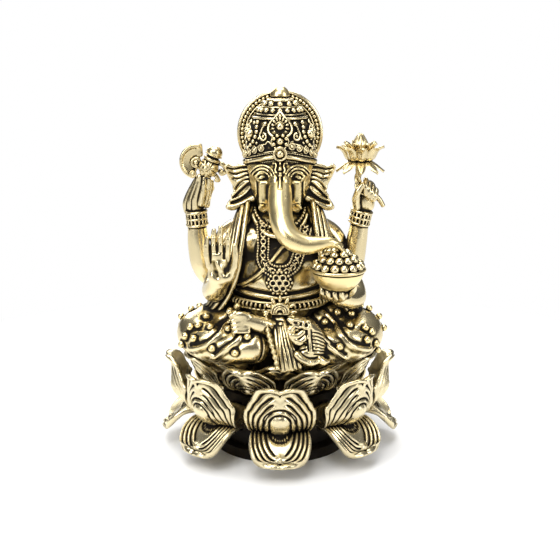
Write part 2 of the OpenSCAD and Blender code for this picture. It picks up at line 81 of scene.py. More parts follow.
# ---------------------------------------------------------------- curves
def spline(points, n):
    """Smooth curve through every point, n steps between neighbours."""
    p = np.asarray(points, float)
    out = []
    for i in range(len(p) - 1):
        a, b, c, d = p[max(i - 1, 0)], p[i], p[i + 1], p[min(i + 2, len(p) - 1)]
        for k in range(n):
            t = k / n
            out.append(0.5 * (2 * b + (c - a) * t + (2 * a - 5 * b + 4 * c - d) * t * t
                              + (3 * b - a - 3 * c + d) * t ** 3))
    out.append(p[-1])
    return np.array(out)


def unit(v):
    return v / np.linalg.norm(v)


def smooth(x, a, b):
    t = np.clip((x - a) / (b - a), 0, 1)
    return t * t * (3 - 2 * t)


# ---------------------------------------------------------------- mesh helpers
class Soup:
    """Vertices and faces gathered for one piece, in millimetres.

    Each vertex may carry extra darkness, and marks are points that darken what lies near them: patina along
    grooves, painted shade in the sunk brow panel, darker gem centres.
    """

    def __init__(self):
        self.verts = []
        self.faces = []
        self.extra_dark = []
        self.marks = []
        self.count = 0

    def add(self, verts, faces):
        verts = np.asarray(verts, float)
        self.verts.append(verts)
        for f in faces:
            self.faces.append(np.asarray(f, int) + self.count)
        self.count += len(verts)

    def add_grid(self, grid, loop_u=False, loop_v=False):
        """A grid of points [m, n, 3] as quads."""
        m, n = grid.shape[:2]
        i = np.arange(m if loop_u else m - 1)[:, None]
        j = np.arange(n if loop_v else n - 1)[None, :]
        a = i * n + j
        b = i * n + (j + 1) % n
        c = ((i + 1) % m) * n + (j + 1) % n
        d = ((i + 1) % m) * n + j
        quads = np.stack([a, b, c, d], -1).reshape(-1, 4)
        self.add(grid.reshape(-1, 3), [quads])


_ICO = {}


def ico(level):
    """Corners and triangles of a ball of radius 1."""
    if level not in _ICO:
        bm = bmesh.new()
        bmesh.ops.create_icosphere(bm, subdivisions=level, radius=1.0)
        bm.verts.ensure_lookup_table()
        v = np.array([x.co for x in bm.verts])
        f = np.array([[x.index for x in g.verts] for g in bm.faces])
        bm.free()
        _ICO[level] = (v, f)
    return _ICO[level]


def beads(soup, centres, radius, level=2, squash=None):
    """Round beads. squash is (axis, factor) for flattened ones."""
    v, f = ico(level)
    centres = np.atleast_2d(centres)
    radii = np.broadcast_to(np.asarray(radius, float), (len(centres),))
    for c, r in zip(centres, radii):
        w = v * r
        if squash is not None:
            axis = unit(np.asarray(squash[0], float))
            w = w + np.outer(w @ axis, axis) * (squash[1] - 1)
        soup.add(w + c, [f])


def tube(soup, points, radius, sides=10, looped=False, flat=1.0, up=(0.05, -1, 0.1)):
    """Swept round or flattened strand. radius may vary along it."""
    p = np.asarray(points, float)
    m = len(p)
    r = np.broadcast_to(np.asarray(radius, float), (m,))
    if looped:
        t = np.roll(p, -1, 0) - np.roll(p, 1, 0)
    else:
        t = np.gradient(p, axis=0)
    t /= np.linalg.norm(t, axis=1)[:, None] + 1e-12
    s = np.cross(t, np.asarray(up, float))
    s /= np.linalg.norm(s, axis=1)[:, None] + 1e-12
    v = np.cross(t, s)
    a = np.linspace(0, 2 * np.pi, sides, endpoint=False)
    ring = (p[:, None] + r[:, None, None] * (np.cos(a)[None, :, None] * s[:, None]
            - flat * np.sin(a)[None, :, None] * v[:, None]))
    start = soup.count
    soup.add_grid(ring, loop_u=looped, loop_v=True)
    if not looped:
        caps = []
        for row, sign in ((0, 1), (m - 1, -1)):
            i = np.arange(sides) + row * sides
            j = np.roll(i, -1)
            k = np.full(sides, m * sides + len(caps))
            caps.append(np.stack([j, i, k] if sign > 0 else [i, j, k], -1) + start)
        soup.verts.append(np.array([p[0] - t[0] * r[0] * 0.5, p[-1] + t[-1] * r[-1] * 0.5]))
        soup.count += 2
        soup.faces += caps


def circle(c, r, count, y=0.0):
    """Points round c, in a plane that faces the front."""
    return [c + vec(r * math.cos(a), y, r * math.sin(a)) for a in np.linspace(0, 2 * np.pi, count + 1)[:-1]]


def ring_gem(soup, centre, normal, ring_r, ring_w, gem_r, gem_h=0.7):
    """Gem in a raised round setting, facing along normal."""
    n = unit(np.asarray(normal, float))
    s = unit(np.cross(n, [0.1, 0.2, 1]))
    v = np.cross(n, s)
    a = np.linspace(0, 2 * np.pi, 24, endpoint=False)[:, None]
    loop = centre + ring_r * (np.cos(a) * s + np.sin(a) * v) + n * ring_w * 0.4
    tube(soup, loop, ring_w, 8, looped=True, up=n + [0.001, 0, 0])
    beads(soup, [centre + n * 0.1], gem_r, 2, squash=(n, gem_h))


def piece(name, soup, replaces, material):
    """Make the piece, ride it on the one body and hide the CAD nodes it stands for."""
    verts = np.concatenate(soup.verts) * MM
    mesh = bpy.data.meshes.new(name)
    faces = [f.reshape(-1, f.shape[-1]) for f in soup.faces]
    total = sum(len(f) for f in faces)
    loops = np.concatenate([f.ravel() for f in faces])
    sizes = np.concatenate([np.full(len(f), f.shape[1]) for f in faces])
    mesh.vertices.add(len(verts))
    mesh.vertices.foreach_set("co", verts.astype(np.float32).ravel())
    mesh.loops.add(len(loops))
    mesh.loops.foreach_set("vertex_index", loops.astype(np.int32))
    mesh.polygons.add(total)
    starts = np.concatenate([[0], np.cumsum(sizes)[:-1]])
    mesh.polygons.foreach_set("loop_start", starts.astype(np.int32))
    mesh.polygons.foreach_set("loop_total", sizes.astype(np.int32))
    mesh.polygons.foreach_set("use_smooth", np.ones(total, bool))
    mesh.update(calc_edges=True)
    mesh.validate()
    obj = bpy.data.objects.new(name, mesh)
    bpy.context.scene.collection.objects.link(obj)
    mesh.materials.append(material)
    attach(obj, "root")
    if replaces:
        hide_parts(*replaces)
    PIECES.append(obj)
    if soup.extra_dark:
        STAINS_AND_SHADE[name] = np.concatenate(soup.extra_dark)
    elif soup.marks:
        STAINS_AND_SHADE[name] = marked(verts / MM, np.vstack(soup.marks))


def casting(node, soup, material):
    """The piece that stands for one CAD node."""
    piece(f"{node}_cast", soup, [node], material)


def marked(verts, marks):
    """Darkness of each point: marks are points [x, y, z, radius, strength]."""
    tree = KDTree(len(marks))
    for i, m in enumerate(marks):
        tree.insert(m[:3], i)
    tree.balance()
    out = np.zeros(len(verts))
    for i, v in enumerate(verts):
        _, k, gap = tree.find(v)
        if gap < 1.4 * marks[k, 3]:
            out[i] = marks[k, 4] * min(1.0, (1.4 - gap / marks[k, 3]) / 0.45)
    return out


def darken(soup, points, radius, strength=1.0):
    """Darker colour near a line of points: patina along grooves, painted shade in the sunk brow panel, darker
    gem centres.
    """
    p = np.atleast_2d(points)[:, :3]
    if len(p) > 1:
        p = evenly(p, 0.4)
    soup.marks.append(np.hstack([p, np.full((len(p), 1), radius), np.full((len(p), 1), strength)]))


PIECES = []
# extra darkness of the points of a piece, on top of how sunk they were measured to lie: patina along grooves,
# and painted shade in the sunk brow panel
STAINS_AND_SHADE = {}


# ---------------------------------------------------------------- clay: solids on a distance grid
def soft_min(a, b, k):
    """The lower of two distances, rounded over k millimetres where they meet."""
    if k <= 0:
        return np.minimum(a, b)
    t = np.clip(0.5 + 0.5 * (a - b) / k, 0, 1)
    return a + (b - a) * t - k * t * (1 - t)


class Clay:
    """A solid kept as a grid of distances. Forms are blended in, cut out or pressed into it."""

    def __init__(self, lo, hi, voxel=None):
        self.h = voxel or VOXEL
        self.lo = np.asarray(lo, float)
        self.n = np.ceil((np.asarray(hi, float) - self.lo) / self.h).astype(int) + 1
        self.d = np.full(self.n, FAR, np.float32)
        self.marks = []

    def window(self, lo, hi):
        """The part of the grid between two corners and its coordinates, or None."""
        a = np.clip(np.floor((np.asarray(lo) - self.lo) / self.h).astype(int), 0, self.n)
        b = np.clip(np.ceil((np.asarray(hi) - self.lo) / self.h).astype(int) + 1, 0, self.n)
        if np.any(b <= a):
            return None
        xyz = [(self.lo[i] + self.h * np.arange(a[i], b[i])).astype(np.float32) for i in range(3)]
        return (slice(a[0], b[0]), slice(a[1], b[1]), slice(a[2], b[2])), (
            xyz[0][:, None, None], xyz[1][None, :, None], xyz[2][None, None, :])

    def add(self, form, k=0.6):
        """Add a form, blended over k millimetres."""
        lo, hi, fn = form
        w = self.window(lo - k - 1.2, hi + k + 1.2)
        if w is not None:
            part, xyz = w
            self.d[part] = soft_min(self.d[part], fn(*xyz).astype(np.float32), k)

    def cut(self, form, k=0.4):
        """Cut a form away, the edge rounded over k millimetres."""
        lo, hi, fn = form
        w = self.window(lo - k - 1.2, hi + k + 1.2)
        if w is not None:
            part, xyz = w
            self.d[part] = -soft_min(-self.d[part], fn(*xyz).astype(np.float32), k)

    def press(self, points, width, depth, extra_dark=0.5):
        """Press a groove along a line of points, or raise a ridge where depth is negative."""
        p = np.asarray(points, float)
        reach = np.max(np.broadcast_to(width, (len(p),))) * 2.2
        w = self.window(p.min(0)[:3] - reach, p.max(0)[:3] + reach)
        if w is None:
            return
        sl, _ = w
        base = self.d[sl]
        near = np.full(base.shape, 99.0, np.float32)
        wide = np.broadcast_to(np.asarray(width, float), (len(p),))
        off = [s.start for s in sl]
        for i in range(len(p) - 1):
            a, b = p[i, :3], p[i + 1, :3]
            ww = self.window(np.minimum(a, b) - reach, np.maximum(a, b) + reach)
            if ww is None:
                continue
            s2, (x, y, z) = ww
            local = tuple(slice(s.start - o, s.stop - o) for s, o in zip(s2, off))
            ab = b - a
            t = ((x - a[0]) * ab[0] + (y - a[1]) * ab[1] + (z - a[2]) * ab[2]) / max(ab @ ab, 1e-9)
            t = np.clip(t, 0, 1)
            q = np.sqrt((x - a[0] - t * ab[0]) ** 2 + (y - a[1] - t * ab[1]) ** 2
                        + (z - a[2] - t * ab[2]) ** 2)
            q = q / (wide[i] + (wide[i + 1] - wide[i]) * t)
            near[local] = np.minimum(near[local], q)
        self.d[sl] = base + depth * np.exp(-near ** 2).astype(np.float32)
        if depth > 0.3 and wide.mean() < 1.05 and extra_dark:
            darken(self, p, 0.85 * wide.mean(), min(depth, 1.0) * extra_dark)

    def mesh(self, soup):
        """Skin the clay into a soup."""
        d = np.clip(self.d, -3 * self.h, 3 * self.h)
        for ax in range(3):
            for end in (0, -1):
                ix = [slice(None)] * 3
                ix[ax] = end
                d[tuple(ix)] = np.maximum(d[tuple(ix)], self.h)
        soup.marks += self.marks
        grid = openvdb.FloatGrid(3 * self.h)
        grid.copyFromArray(np.ascontiguousarray(d))
        pts, tris, quads = grid.convertToPolygons(0.0, COARSEN)
        soup.add(pts * self.h + self.lo, [f[:, ::-1].astype(int) for f in (tris, quads) if len(f)])
        return soup


def ball(c, r):
    c = np.asarray(c, float)
    return c - r, c + r, lambda x, y, z: np.sqrt((x - c[0]) ** 2 + (y - c[1]) ** 2 + (z - c[2]) ** 2) - r


def egg(c, r, turn=None):
    """Ellipsoid with half sizes r; turn is a 3x3 rotation."""
    c = np.asarray(c, float)
    r = np.asarray(r, float)
    reach = r if turn is None else np.full(3, r.max())
    m = np.eye(3) if turn is None else np.asarray(turn).T

    def fn(x, y, z):
        q = [m[i, 0] * (x - c[0]) + m[i, 1] * (y - c[1]) + m[i, 2] * (z - c[2]) for i in range(3)]
        a = np.sqrt((q[0] / r[0]) ** 2 + (q[1] / r[1]) ** 2 + (q[2] / r[2]) ** 2)
        b = np.sqrt((q[0] / r[0] ** 2) ** 2 + (q[1] / r[1] ** 2) ** 2 + (q[2] / r[2] ** 2) ** 2) + 1e-6
        return a * (a - 1) / b
    return c - reach, c + reach, fn


def rope(points, flat=None):
    """Round strand through points [x, y, z, radius]; flat is (axis, factor), squashed along axis."""
    p = np.asarray(points, float)
    r = p[:, 3].max()
    lo, hi = p[:, :3].min(0) - r, p[:, :3].max(0) + r
    axis = None if flat is None else unit(np.asarray(flat[0], float))

    def fn(x, y, z):
        best = None
        for i in range(len(p) - 1):
            a, b = p[i], p[i + 1]
            ab = b[:3] - a[:3]
            dx, dy, dz = x - a[0], y - a[1], z - a[2]
            t = np.clip((dx * ab[0] + dy * ab[1] + dz * ab[2]) / max(ab @ ab, 1e-9), 0, 1)
            qx, qy, qz = dx - t * ab[0], dy - t * ab[1], dz - t * ab[2]
            if axis is not None:
                s = (qx * axis[0] + qy * axis[1] + qz * axis[2]) * (1 / flat[1] - 1)
                qx, qy, qz = qx + s * axis[0], qy + s * axis[1], qz + s * axis[2]
            q = np.sqrt(qx * qx + qy * qy + qz * qz) - (a[3] + (b[3] - a[3]) * t)
            if axis is not None:
                q = q * flat[1]
            best = q if best is None else np.minimum(best, q)
        return best
    return lo, hi, fn


def slab(c, half, edge=0.3):
    """Box with rounded edges."""
    c = np.asarray(c, float)
    half = np.asarray(half, float) - edge
    reach = half + edge

    def fn(x, y, z):
        q = [np.abs(v - c[i]) - half[i] for i, v in enumerate((x, y, z))]
        out = np.sqrt(sum(np.maximum(v, 0) ** 2 for v in q))
        return out + np.minimum(np.maximum(np.maximum(q[0], q[1]), q[2]), 0) - edge
    return c - reach, c + reach, fn


def rot(axis, deg):
    """Rotation matrix about an axis, in degrees."""
    return np.array(Matrix.Rotation(math.radians(deg), 3, axis))


# ---------------------------------------------------------------- places on the figure
def strand(points, steps, flat=None):
    """A rope through a few points [x, y, height, radius]."""
    return rope(spline(raise_path(points), steps), flat)


def at(x, y, z):
    """A point given with its height above the seat."""
    return vec(x, y, z + SEAT)


def raise_path(path):
    """Points [x, y, height, ...] lifted on to the seat."""
    return np.array([[p[0], p[1], p[2] + SEAT] + list(p[3:]) for p in path], float)


def skin_y(clay, x, z):
    """The y of a clay's front surface at x, z, looking from the front."""
    i = (x - clay.lo[0]) / clay.h
    k = (z - clay.lo[2]) / clay.h
    i0, k0 = int(np.clip(i, 0, clay.n[0] - 2)), int(np.clip(k, 0, clay.n[2] - 2))
    fi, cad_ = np.clip(i - i0, 0, 1), np.clip(k - k0, 0, 1)
    col = ((clay.d[i0, :, k0] * (1 - fi) + clay.d[i0 + 1, :, k0] * fi) * (1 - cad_)
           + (clay.d[i0, :, k0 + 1] * (1 - fi) + clay.d[i0 + 1, :, k0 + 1] * fi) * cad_)
    inside = np.nonzero(col < 0)[0]
    if len(inside) == 0:
        return None
    j = inside[0]
    if j == 0:
        return clay.lo[1]
    a, b = col[j - 1], col[j]
    return clay.lo[1] + clay.h * (j - 1 + a / (a - b))


def on_skin(clay, points, off=0.0):
    """Points [x, z] set on the front of a clay, off millimetres proud of it."""
    out = []
    for x, z in points:
        y = skin_y(clay, x, z)
        if y is not None:
            out.append([x, y - off, z])
    return np.array(out)


def front(clay, points, off=0.0):
    """Points [x, height] set on the front of a clay."""
    return on_skin(clay, [[x, z + SEAT] for x, z in points], off)


def evenly(points, pitch, closed=False):
    """Points at a steady pitch along a line."""
    p = np.asarray(points, float)
    if closed:
        p = np.vstack([p, p[:1]])
    seg = np.linalg.norm(np.diff(p, axis=0), axis=1)
    s = np.concatenate([[0], np.cumsum(seg)])
    n = max(int(round(s[-1] / pitch)), 1)
    t = np.linspace(0, s[-1], n + 1)
    if closed:
        t = t[:-1]
    return np.stack([np.interp(t, s, p[:, k]) for k in range(p.shape[1])], 1)


def leaf(outline, mid, half_t):
    """A plate of outline [x, z], half_t thick each way from its middle surface y = mid(x, z)."""
    q = np.asarray(outline, float)
    nxt = np.roll(q, -1, 0)
    lo2, hi2 = q.min(0), q.max(0)
    grid_y = np.array([mid(x, z) for x in np.linspace(lo2[0], hi2[0], 7)
                       for z in np.linspace(lo2[1], hi2[1], 7)])
    lo = vec(lo2[0], grid_y.min() - half_t, lo2[1])
    hi = vec(hi2[0], grid_y.max() + half_t, hi2[1])

    def fn(x, y, z):
        near = np.full((x.shape[0], 1, z.shape[2]), 1e9)
        sign = np.ones_like(near)
        for a, b in zip(q, nxt):
            e = b - a
            wx, wz = x - a[0], z - a[1]
            t = np.clip((wx * e[0] + wz * e[1]) / (e @ e + 1e-12), 0, 1)
            near = np.minimum(near, (wx - t * e[0]) ** 2 + (wz - t * e[1]) ** 2)
            above, below = z >= a[1], z < b[1]
            turn = e[0] * wz > e[1] * wx
            flip = (above & below & turn) | (~above & ~below & ~turn)
            sign = np.where(flip, -sign, sign)
        flat = sign * np.sqrt(near)
        thick = np.abs(y - mid(x, z)) - half_t
        k = 0.9
        h = np.clip(0.5 + 0.5 * (flat - thick) / k, 0, 1)
        return thick + (flat - thick) * h + k * h * (1 - h)
    return lo, hi, fn


def lathe(soup, base, axis, profile, sides=64):
    """Turned form: profile [radius, height] spun round axis from base."""
    n = unit(np.asarray(axis, float))
    s = unit(np.cross(n, [0.13, 0.37, 0.91]))
    v = np.cross(n, s)
    p = np.asarray(profile, float)
    a = np.linspace(0, 2 * np.pi, sides, endpoint=False)
    ring = np.cos(a)[None, :, None] * s + np.sin(a)[None, :, None] * v
    grid = np.asarray(base, float) + p[:, 0][:, None, None] * ring + p[:, 1][:, None, None] * n
    soup.add_grid(grid[:, ::-1], loop_v=True)


# ---------------------------------------------------------------- materials
# how strongly a sunk point darkens, and how dark a flat one is
CONTRAST = 7.5
WEAR = 0.44


def brass(name, worn, body, recess, gloss, dirt_and_shade=0.0, deep=0.6, reads_patina_and_shade=True):
    """Aged brass: bright where rubbed, brown in the recesses, from patina in the grooves and painted shade
    between parts. A colour attribute holds how sunk each point is.
    """
    mat = bpy.data.materials.new(name)
    mat.use_nodes = True
    nt = mat.node_tree
    nt.nodes.clear()
    out = nt.nodes.new("ShaderNodeOutputMaterial")
    bsdf = nt.nodes.new("ShaderNodeBsdfPrincipled")
    nt.links.new(bsdf.outputs[0], out.inputs[0])

    def math_node(op, a, b=None, clamp=False):
        n = nt.nodes.new("ShaderNodeMath")
        n.operation = op
        n.use_clamp = clamp
        for i, v in enumerate((a, b)):
            if v is None:
                continue
            if isinstance(v, (int, float)):
                n.inputs[i].default_value = v
            else:
                nt.links.new(v, n.inputs[i])
        return n.outputs[0]

    def noise(scale, detail, rough=0.5):
        n = nt.nodes.new("ShaderNodeTexNoise")
        n.inputs["Scale"].default_value = scale
        n.inputs["Detail"].default_value = detail
        n.inputs["Roughness"].default_value = rough
        nt.links.new(coord.outputs["Object"], n.inputs["Vector"])
        return n.outputs["Fac"]

    def ramp(fac, stops):
        n = nt.nodes.new("ShaderNodeValToRGB")
        n.color_ramp.interpolation = "EASE"
        for i, (pos, col) in enumerate(stops):
            e = n.color_ramp.elements[i] if i < 2 else n.color_ramp.elements.new(pos)
            e.position = pos
            e.color = (*col, 1) if len(col) == 3 else col
        nt.links.new(fac, n.inputs[0])
        return n.outputs[0]

    coord = nt.nodes.new("ShaderNodeTexCoord")
    cloud = noise(70, 4, 0.6)
    speck = noise(900, 3, 0.7)
    mottle = math_node("MULTIPLY", math_node("SUBTRACT", cloud, 0.5), 0.5)
    grit = math_node("MULTIPLY", math_node("SUBTRACT", speck, 0.5), 0.3)
    total = math_node("ADD", mottle, grit)
    if reads_patina_and_shade:
        hollow_patina_and_shade = nt.nodes.new("ShaderNodeAttribute")
        hollow_patina_and_shade.attribute_name = "hollow_patina_and_shade"
        split = nt.nodes.new("ShaderNodeSeparateColor")
        nt.links.new(hollow_patina_and_shade.outputs["Color"], split.inputs[0])
        sunk = math_node("MULTIPLY", math_node("SUBTRACT", split.outputs[0], 0.5), CONTRAST)
        # the broad channel darkens where parts and folds crowd together: painted shade
        shade_between_parts = math_node("MULTIPLY", math_node("SUBTRACT", split.outputs[1], 0.5), CONTRAST * deep)
        total = math_node("ADD", total, math_node("ADD", sunk, shade_between_parts))
    # each material's offset shifts it darker or brighter: real dirt for the dark base and patina, painted
    # shade for the shaded copy, polish for face and trunk
    total = math_node("ADD", total, WEAR + dirt_and_shade, clamp=True)
    colour = ramp(total, [(0.0, worn), (1.0, recess), (0.28, worn), (0.48, body),
                          (0.7, [c * 0.32 for c in body]), (0.86, recess)])
    rough = ramp(total, [(0.0, (gloss,) * 3), (1.0, (0.75,) * 3), (0.45, (gloss * 1.35,) * 3),
                         (0.8, (0.55,) * 3)])
    metal = ramp(total, [(0.0, (1.0,) * 3), (1.0, (0.25,) * 3), (0.6, (1.0,) * 3)])
    nt.links.new(colour, bsdf.inputs["Base Color"])
    smear = math_node("MULTIPLY", math_node("SUBTRACT", cloud, 0.5), 0.18)
    nt.links.new(math_node("ADD", rough, smear), bsdf.inputs["Roughness"])
    nt.links.new(metal, bsdf.inputs["Metallic"])
    bsdf.inputs["Specular IOR Level"].default_value = 0.2
    bump = nt.nodes.new("ShaderNodeBump")
    bump.inputs["Strength"].default_value = 0.25
    bump.inputs["Distance"].default_value = 0.0002
    nt.links.new(noise(600, 4, 0.6), bump.inputs["Height"])
    nt.links.new(bump.outputs[0], bsdf.inputs["Normal"])
    return mat


# near-black colour of sunk points: patina in the grooves, painted shade between parts
RECESS = (0.012, 0.009, 0.006)
M_ANTIQUE = brass("antique_brass", (0.80, 0.68, 0.41), (0.38, 0.29, 0.12), RECESS, 0.24)
M_FACE = brass("face_brass", (0.88, 0.72, 0.37), (0.48, 0.36, 0.13), RECESS, 0.24, dirt_and_shade=-0.08, deep=0.04)
M_POLISHED = brass("polished_brass", (0.92, 0.76, 0.40), (0.50, 0.38, 0.14), RECESS, 0.28, dirt_and_shade=-0.12,
                   deep=0.04)
# a darker copy of the same brass for the sash, belt, axe and lotus flower: painted shade
M_SHADE = brass("shaded_brass", (0.72, 0.60, 0.34), (0.28, 0.21, 0.09), RECESS, 0.27, dirt_and_shade=0.14)
M_PETAL = brass("petal_brass", (0.76, 0.66, 0.42), (0.40, 0.31, 0.14), RECESS, 0.27)
M_DARK = brass("base_brass", (0.34, 0.26, 0.13), (0.16, 0.11, 0.05), RECESS, 0.4, dirt_and_shade=0.25)
M_PATINA = brass("dark_patina", (0.34, 0.26, 0.13), (0.10, 0.07, 0.035), RECESS, 0.42, dirt_and_shade=0.38, reads_patina_and_shade=False)


def steel():
    """Dull zinc-plated steel for the screw and washer."""
    mat = bpy.data.materials.new("zinc_steel")
    mat.use_nodes = True
    nt = mat.node_tree
    bsdf = nt.nodes["Principled BSDF"]
    bsdf.inputs["Metallic"].default_value = 1.0
    coord = nt.nodes.new("ShaderNodeTexCoord")
    grain = nt.nodes.new("ShaderNodeTexNoise")
    grain.inputs["Scale"].default_value = 500
    nt.links.new(coord.outputs["Object"], grain.inputs["Vector"])
    for socket, low, high in (("Base Color", (0.42, 0.42, 0.43, 1), (0.62, 0.62, 0.61, 1)),
                              ("Roughness", (0.28,) * 3 + (1,), (0.5,) * 3 + (1,))):
        r = nt.nodes.new("ShaderNodeValToRGB")
        r.color_ramp.elements[0].color = low
        r.color_ramp.elements[1].color = high
        nt.links.new(grain.outputs["Fac"], r.inputs[0])
        nt.links.new(r.outputs[0], bsdf.inputs[socket])
    return mat


M_STEEL = steel()


# ---------------------------------------------------------------- lotus base
DRUM_FLAT = 28.0
# Half outline of a petal from root to notched tip: [part of the half width, part of the length]
HALF = [[0.42, 0], [0.62, 0.15], [0.83, 0.32], [0.96, 0.45], [1.0, 0.57], [0.97, 0.7], [0.86, 0.81],
        [0.69, 0.9], [0.48, 0.965], [0.27, 0.998], [0.1, 0.995], [0, 0.97]]
# how much less the nested outlines shrink in length than in width
NEST = 0.46
MIDDLE = dict(
    line=[[DRUM_FLAT, 23], [37, 20], [46, 20.4], [52.5, 24.5], [55.4, 30.5], [55.6, 36.5], [55.6, 41],
          [58.4, 45.4]],
    half_w=17.2, cup=9.0, thick=3.0, tongue=(4.4, 0.7, 1.0), grooves=(0.87, 0.74, 0.61, 0.47), depth=1.3,
    upper_face=False)
LOWER = dict(
    line=[[DRUM_FLAT, 14], [38, 18], [45.5, 16.5], [51.5, 11.5], [55.5, 7.6], [58.4, 6.8], [60.6, 8.4]],
    half_w=14.8, cup=3.0, thick=3.6, tongue=(3.0, 0.52, 0.8), grooves=(0.87, 0.74, 0.61, 0.46), depth=1.2,
    upper_face=True)
UPPER = dict(
    line=[[24, 35], [32, 35], [39, 36.5], [44, 40.5], [46.5, 45], [48, 48.2], [50.2, 49.6]],
    half_w=14.0, cup=5.5, thick=2.8, tongue=(3.6, 0.6, 0.7), grooves=(0.84, 0.67, 0.5), depth=1.1,
    upper_face=False)
INNER = dict(
    line=[[20, 43.5], [27, 42], [33, 42], [38, 44], [41, 47], [42.6, 49.8], [44.6, 50.8]],
    half_w=12.5, cup=3.0, thick=2.6, tongue=(3.0, 0.3, 0.3), grooves=(0.82,), depth=0.8, upper_face=False)


def petal(soup, angle, line, half_w, cup, thick, tongue, grooves, depth, upper_face):
    """One leaf-shaped petal: a closed shell with pressed grooves, a rolled rim and a raised tongue."""
    c = spline(line, 24)
    seg = np.concatenate([[0], np.cumsum(np.linalg.norm(np.diff(c, axis=0), axis=1))])
    length = seg[-1]
    half = spline(HALF, 12)
    edge = np.concatenate([half * [-1, 1], half[-2::-1]])
    run = np.concatenate([[0], np.cumsum(np.linalg.norm(np.diff(edge * [half_w, length], axis=0), axis=1))])
    stops = np.linspace(0, run[-1], 85)
    edge = np.stack([np.interp(stops, run, edge[:, k]) for k in (0, 1)], 1)
    # rows of the skin follow outlines nested about the middle line, close together at the grooves
    fine = np.linspace(0, 1, 400)
    crowd = 1 + sum(4 * np.exp(-(((fine - g) * half_w) / 1.1) ** 2) for g in grooves)
    crowd = np.cumsum(crowd + 1.5 * (fine > 0.9))
    groovy = np.interp(np.linspace(0, 1, 53), (crowd - crowd[0]) / (crowd[-1] - crowd[0]),
                       fine)
    plain = np.linspace(0, 1, 17)
    under_q, over_q = (plain, groovy) if upper_face else (groovy, plain)

    def skin(q, upper):
        """Points of one face on the outlines q, offset from the centre line's sheet."""
        q = q[:, None]
        a, b = q * edge[None, :, 0], (1 - NEST * (1 - q)) * edge[None, :, 1]
        rim = 0.6 * np.exp(-(((q - 0.95) * half_w) / 0.8) ** 2)
        lines = np.zeros_like(a)
        for k, g in enumerate(grooves):
            fade = 1.0 if k == 0 else smooth(np.abs(a), 0.1, 0.26)
            lines = lines + fade * np.exp(-(((q - g) * half_w) / 0.55) ** 2)
        t_w, t_end, t_h = tongue
        over = np.maximum((b - t_end) * length + t_w, 0)
        tq = np.sqrt((a * half_w / t_w) ** 2 + (over / t_w) ** 2)
        lines = lines * smooth(tq, 1.3, 1.6)
        for ring in (1.14, 1.75):
            lines = np.maximum(lines, np.exp(-(((tq - ring) * t_w) / 0.55) ** 2))
        rise = rim + np.where(tq < 1, t_h * (1 - tq ** 4), 0) - depth * lines
        if upper_face:
            rise = rise + 1.0 * np.exp(-(a / 0.12) ** 2) * np.exp(-((b - 0.8) / 0.05) ** 2)
        rise = rise * np.sqrt(np.clip(1 - q ** 16, 0, 1))
        lift = cup * smooth(b, 0.2, 0.7) * a ** 2
        fat = thick * np.sqrt(np.clip(1 - q ** 9, 0, 1))
        shown = upper == upper_face
        off = lift + (fat if upper else 0) + (rise if shown else 0) * (1 if upper else -1)
        r = np.interp(b * length, seg, c[:, 0])
        z = np.interp(b * length, seg, c[:, 1])
        d = np.stack([np.interp(b * length + 0.4, seg, c[:, k]) - np.interp(b * length - 0.4, seg, c[:, k])
                      for k in (0, 1)])
        d /= np.linalg.norm(d, axis=0)
        r, z = r - d[1] * off, z + d[0] * off
        x = a * half_w
        ca, sa = math.cos(angle), math.sin(angle)
        # the shown face gets patina along its grooves; the other face is made evenly darker
        extra_dark = 0.6 * lines * smooth(b, 0.1, 0.3) if shown else np.full_like(a, 0.35)
        return np.stack([x * ca + r * sa, x * sa - r * ca, z], -1), extra_dark

    (under, extra_dark_u), (over, extra_dark_o) = skin(under_q, False), skin(over_q, True)
    rows = np.concatenate([under, over[-2::-1]])
    m, n = rows.shape[:2]
    index = np.arange(m * n).reshape(m, n)
    # both halves of the innermost rows lie on one seam
    for row in (0, m - 1):
        index[row, n // 2 + 1:] = index[row, n // 2 - 1::-1]
    quads = np.stack([index[:-1, :-1], index[:-1, 1:], index[1:, 1:], index[1:, :-1]], -1).reshape(-1, 4)
    used, quads = np.unique(quads, return_inverse=True)
    slot_of = np.zeros(m * n, int)
    slot_of[used] = np.arange(len(used))
    root = [slot_of[index[:, 0]][None, :], slot_of[index[::-1, -1]][None, :]]
    soup.add(rows.reshape(-1, 3)[used], [quads.reshape(-1, 4)] + root)
    soup.extra_dark.append(np.concatenate([extra_dark_u, extra_dark_o[-2::-1]]).ravel()[used])


def lotus():
    turn = math.pi / 4
    for row, spec in (("middle", MIDDLE), ("lower", LOWER)):
        for i in range(8):
            s = Soup()
            petal(s, turn * i, **spec)
            piece(f"{row}_petal_{i + 1}_cast", s, [f"{row}_petal_{i + 1}"], M_PETAL)
    for row, spec, shift in (("upper", UPPER, 0.5), ("inner", INNER, 0.0)):
        s = Soup()
        for i in range(8):
            petal(s, turn * (i + shift), **spec)
        casting(f"{row}_petals", s, M_PETAL)
    # small ball rivets on the drum, between the petals
    s = Soup()
    for i in range(8):
        a = turn * (i + 0.5)
        out = vec(math.sin(a), -math.cos(a), 0)
        beads(s, [out * 34.5 + vec(0, 0, 24.5)], 1.5, 3)
        tube(s, [out * r + vec(0, 0, 24.5) for r in (24, 29, 34)], [2.4, 1.6, 1.0], 12)
    piece("petal_rivets", s, [], M_DARK)


lotus()


# ---------------------------------------------------------------- trunk of the body
TORSO_RINGS = [[0, 1, 22, 15], [8, 0, 26, 18], [18, -2, 25.5, 21], [28, -4, 24.5, 23], [42, -5, 23.5, 24.5],
               [52, -3, 22.5, 21], [61, 0, 23.5, 14.5], [66, 1.5, 20, 11], [70, 1.5, 11, 8.5],
               [72, 1, 9, 7.5], [75, 0, 9, 7.5]]


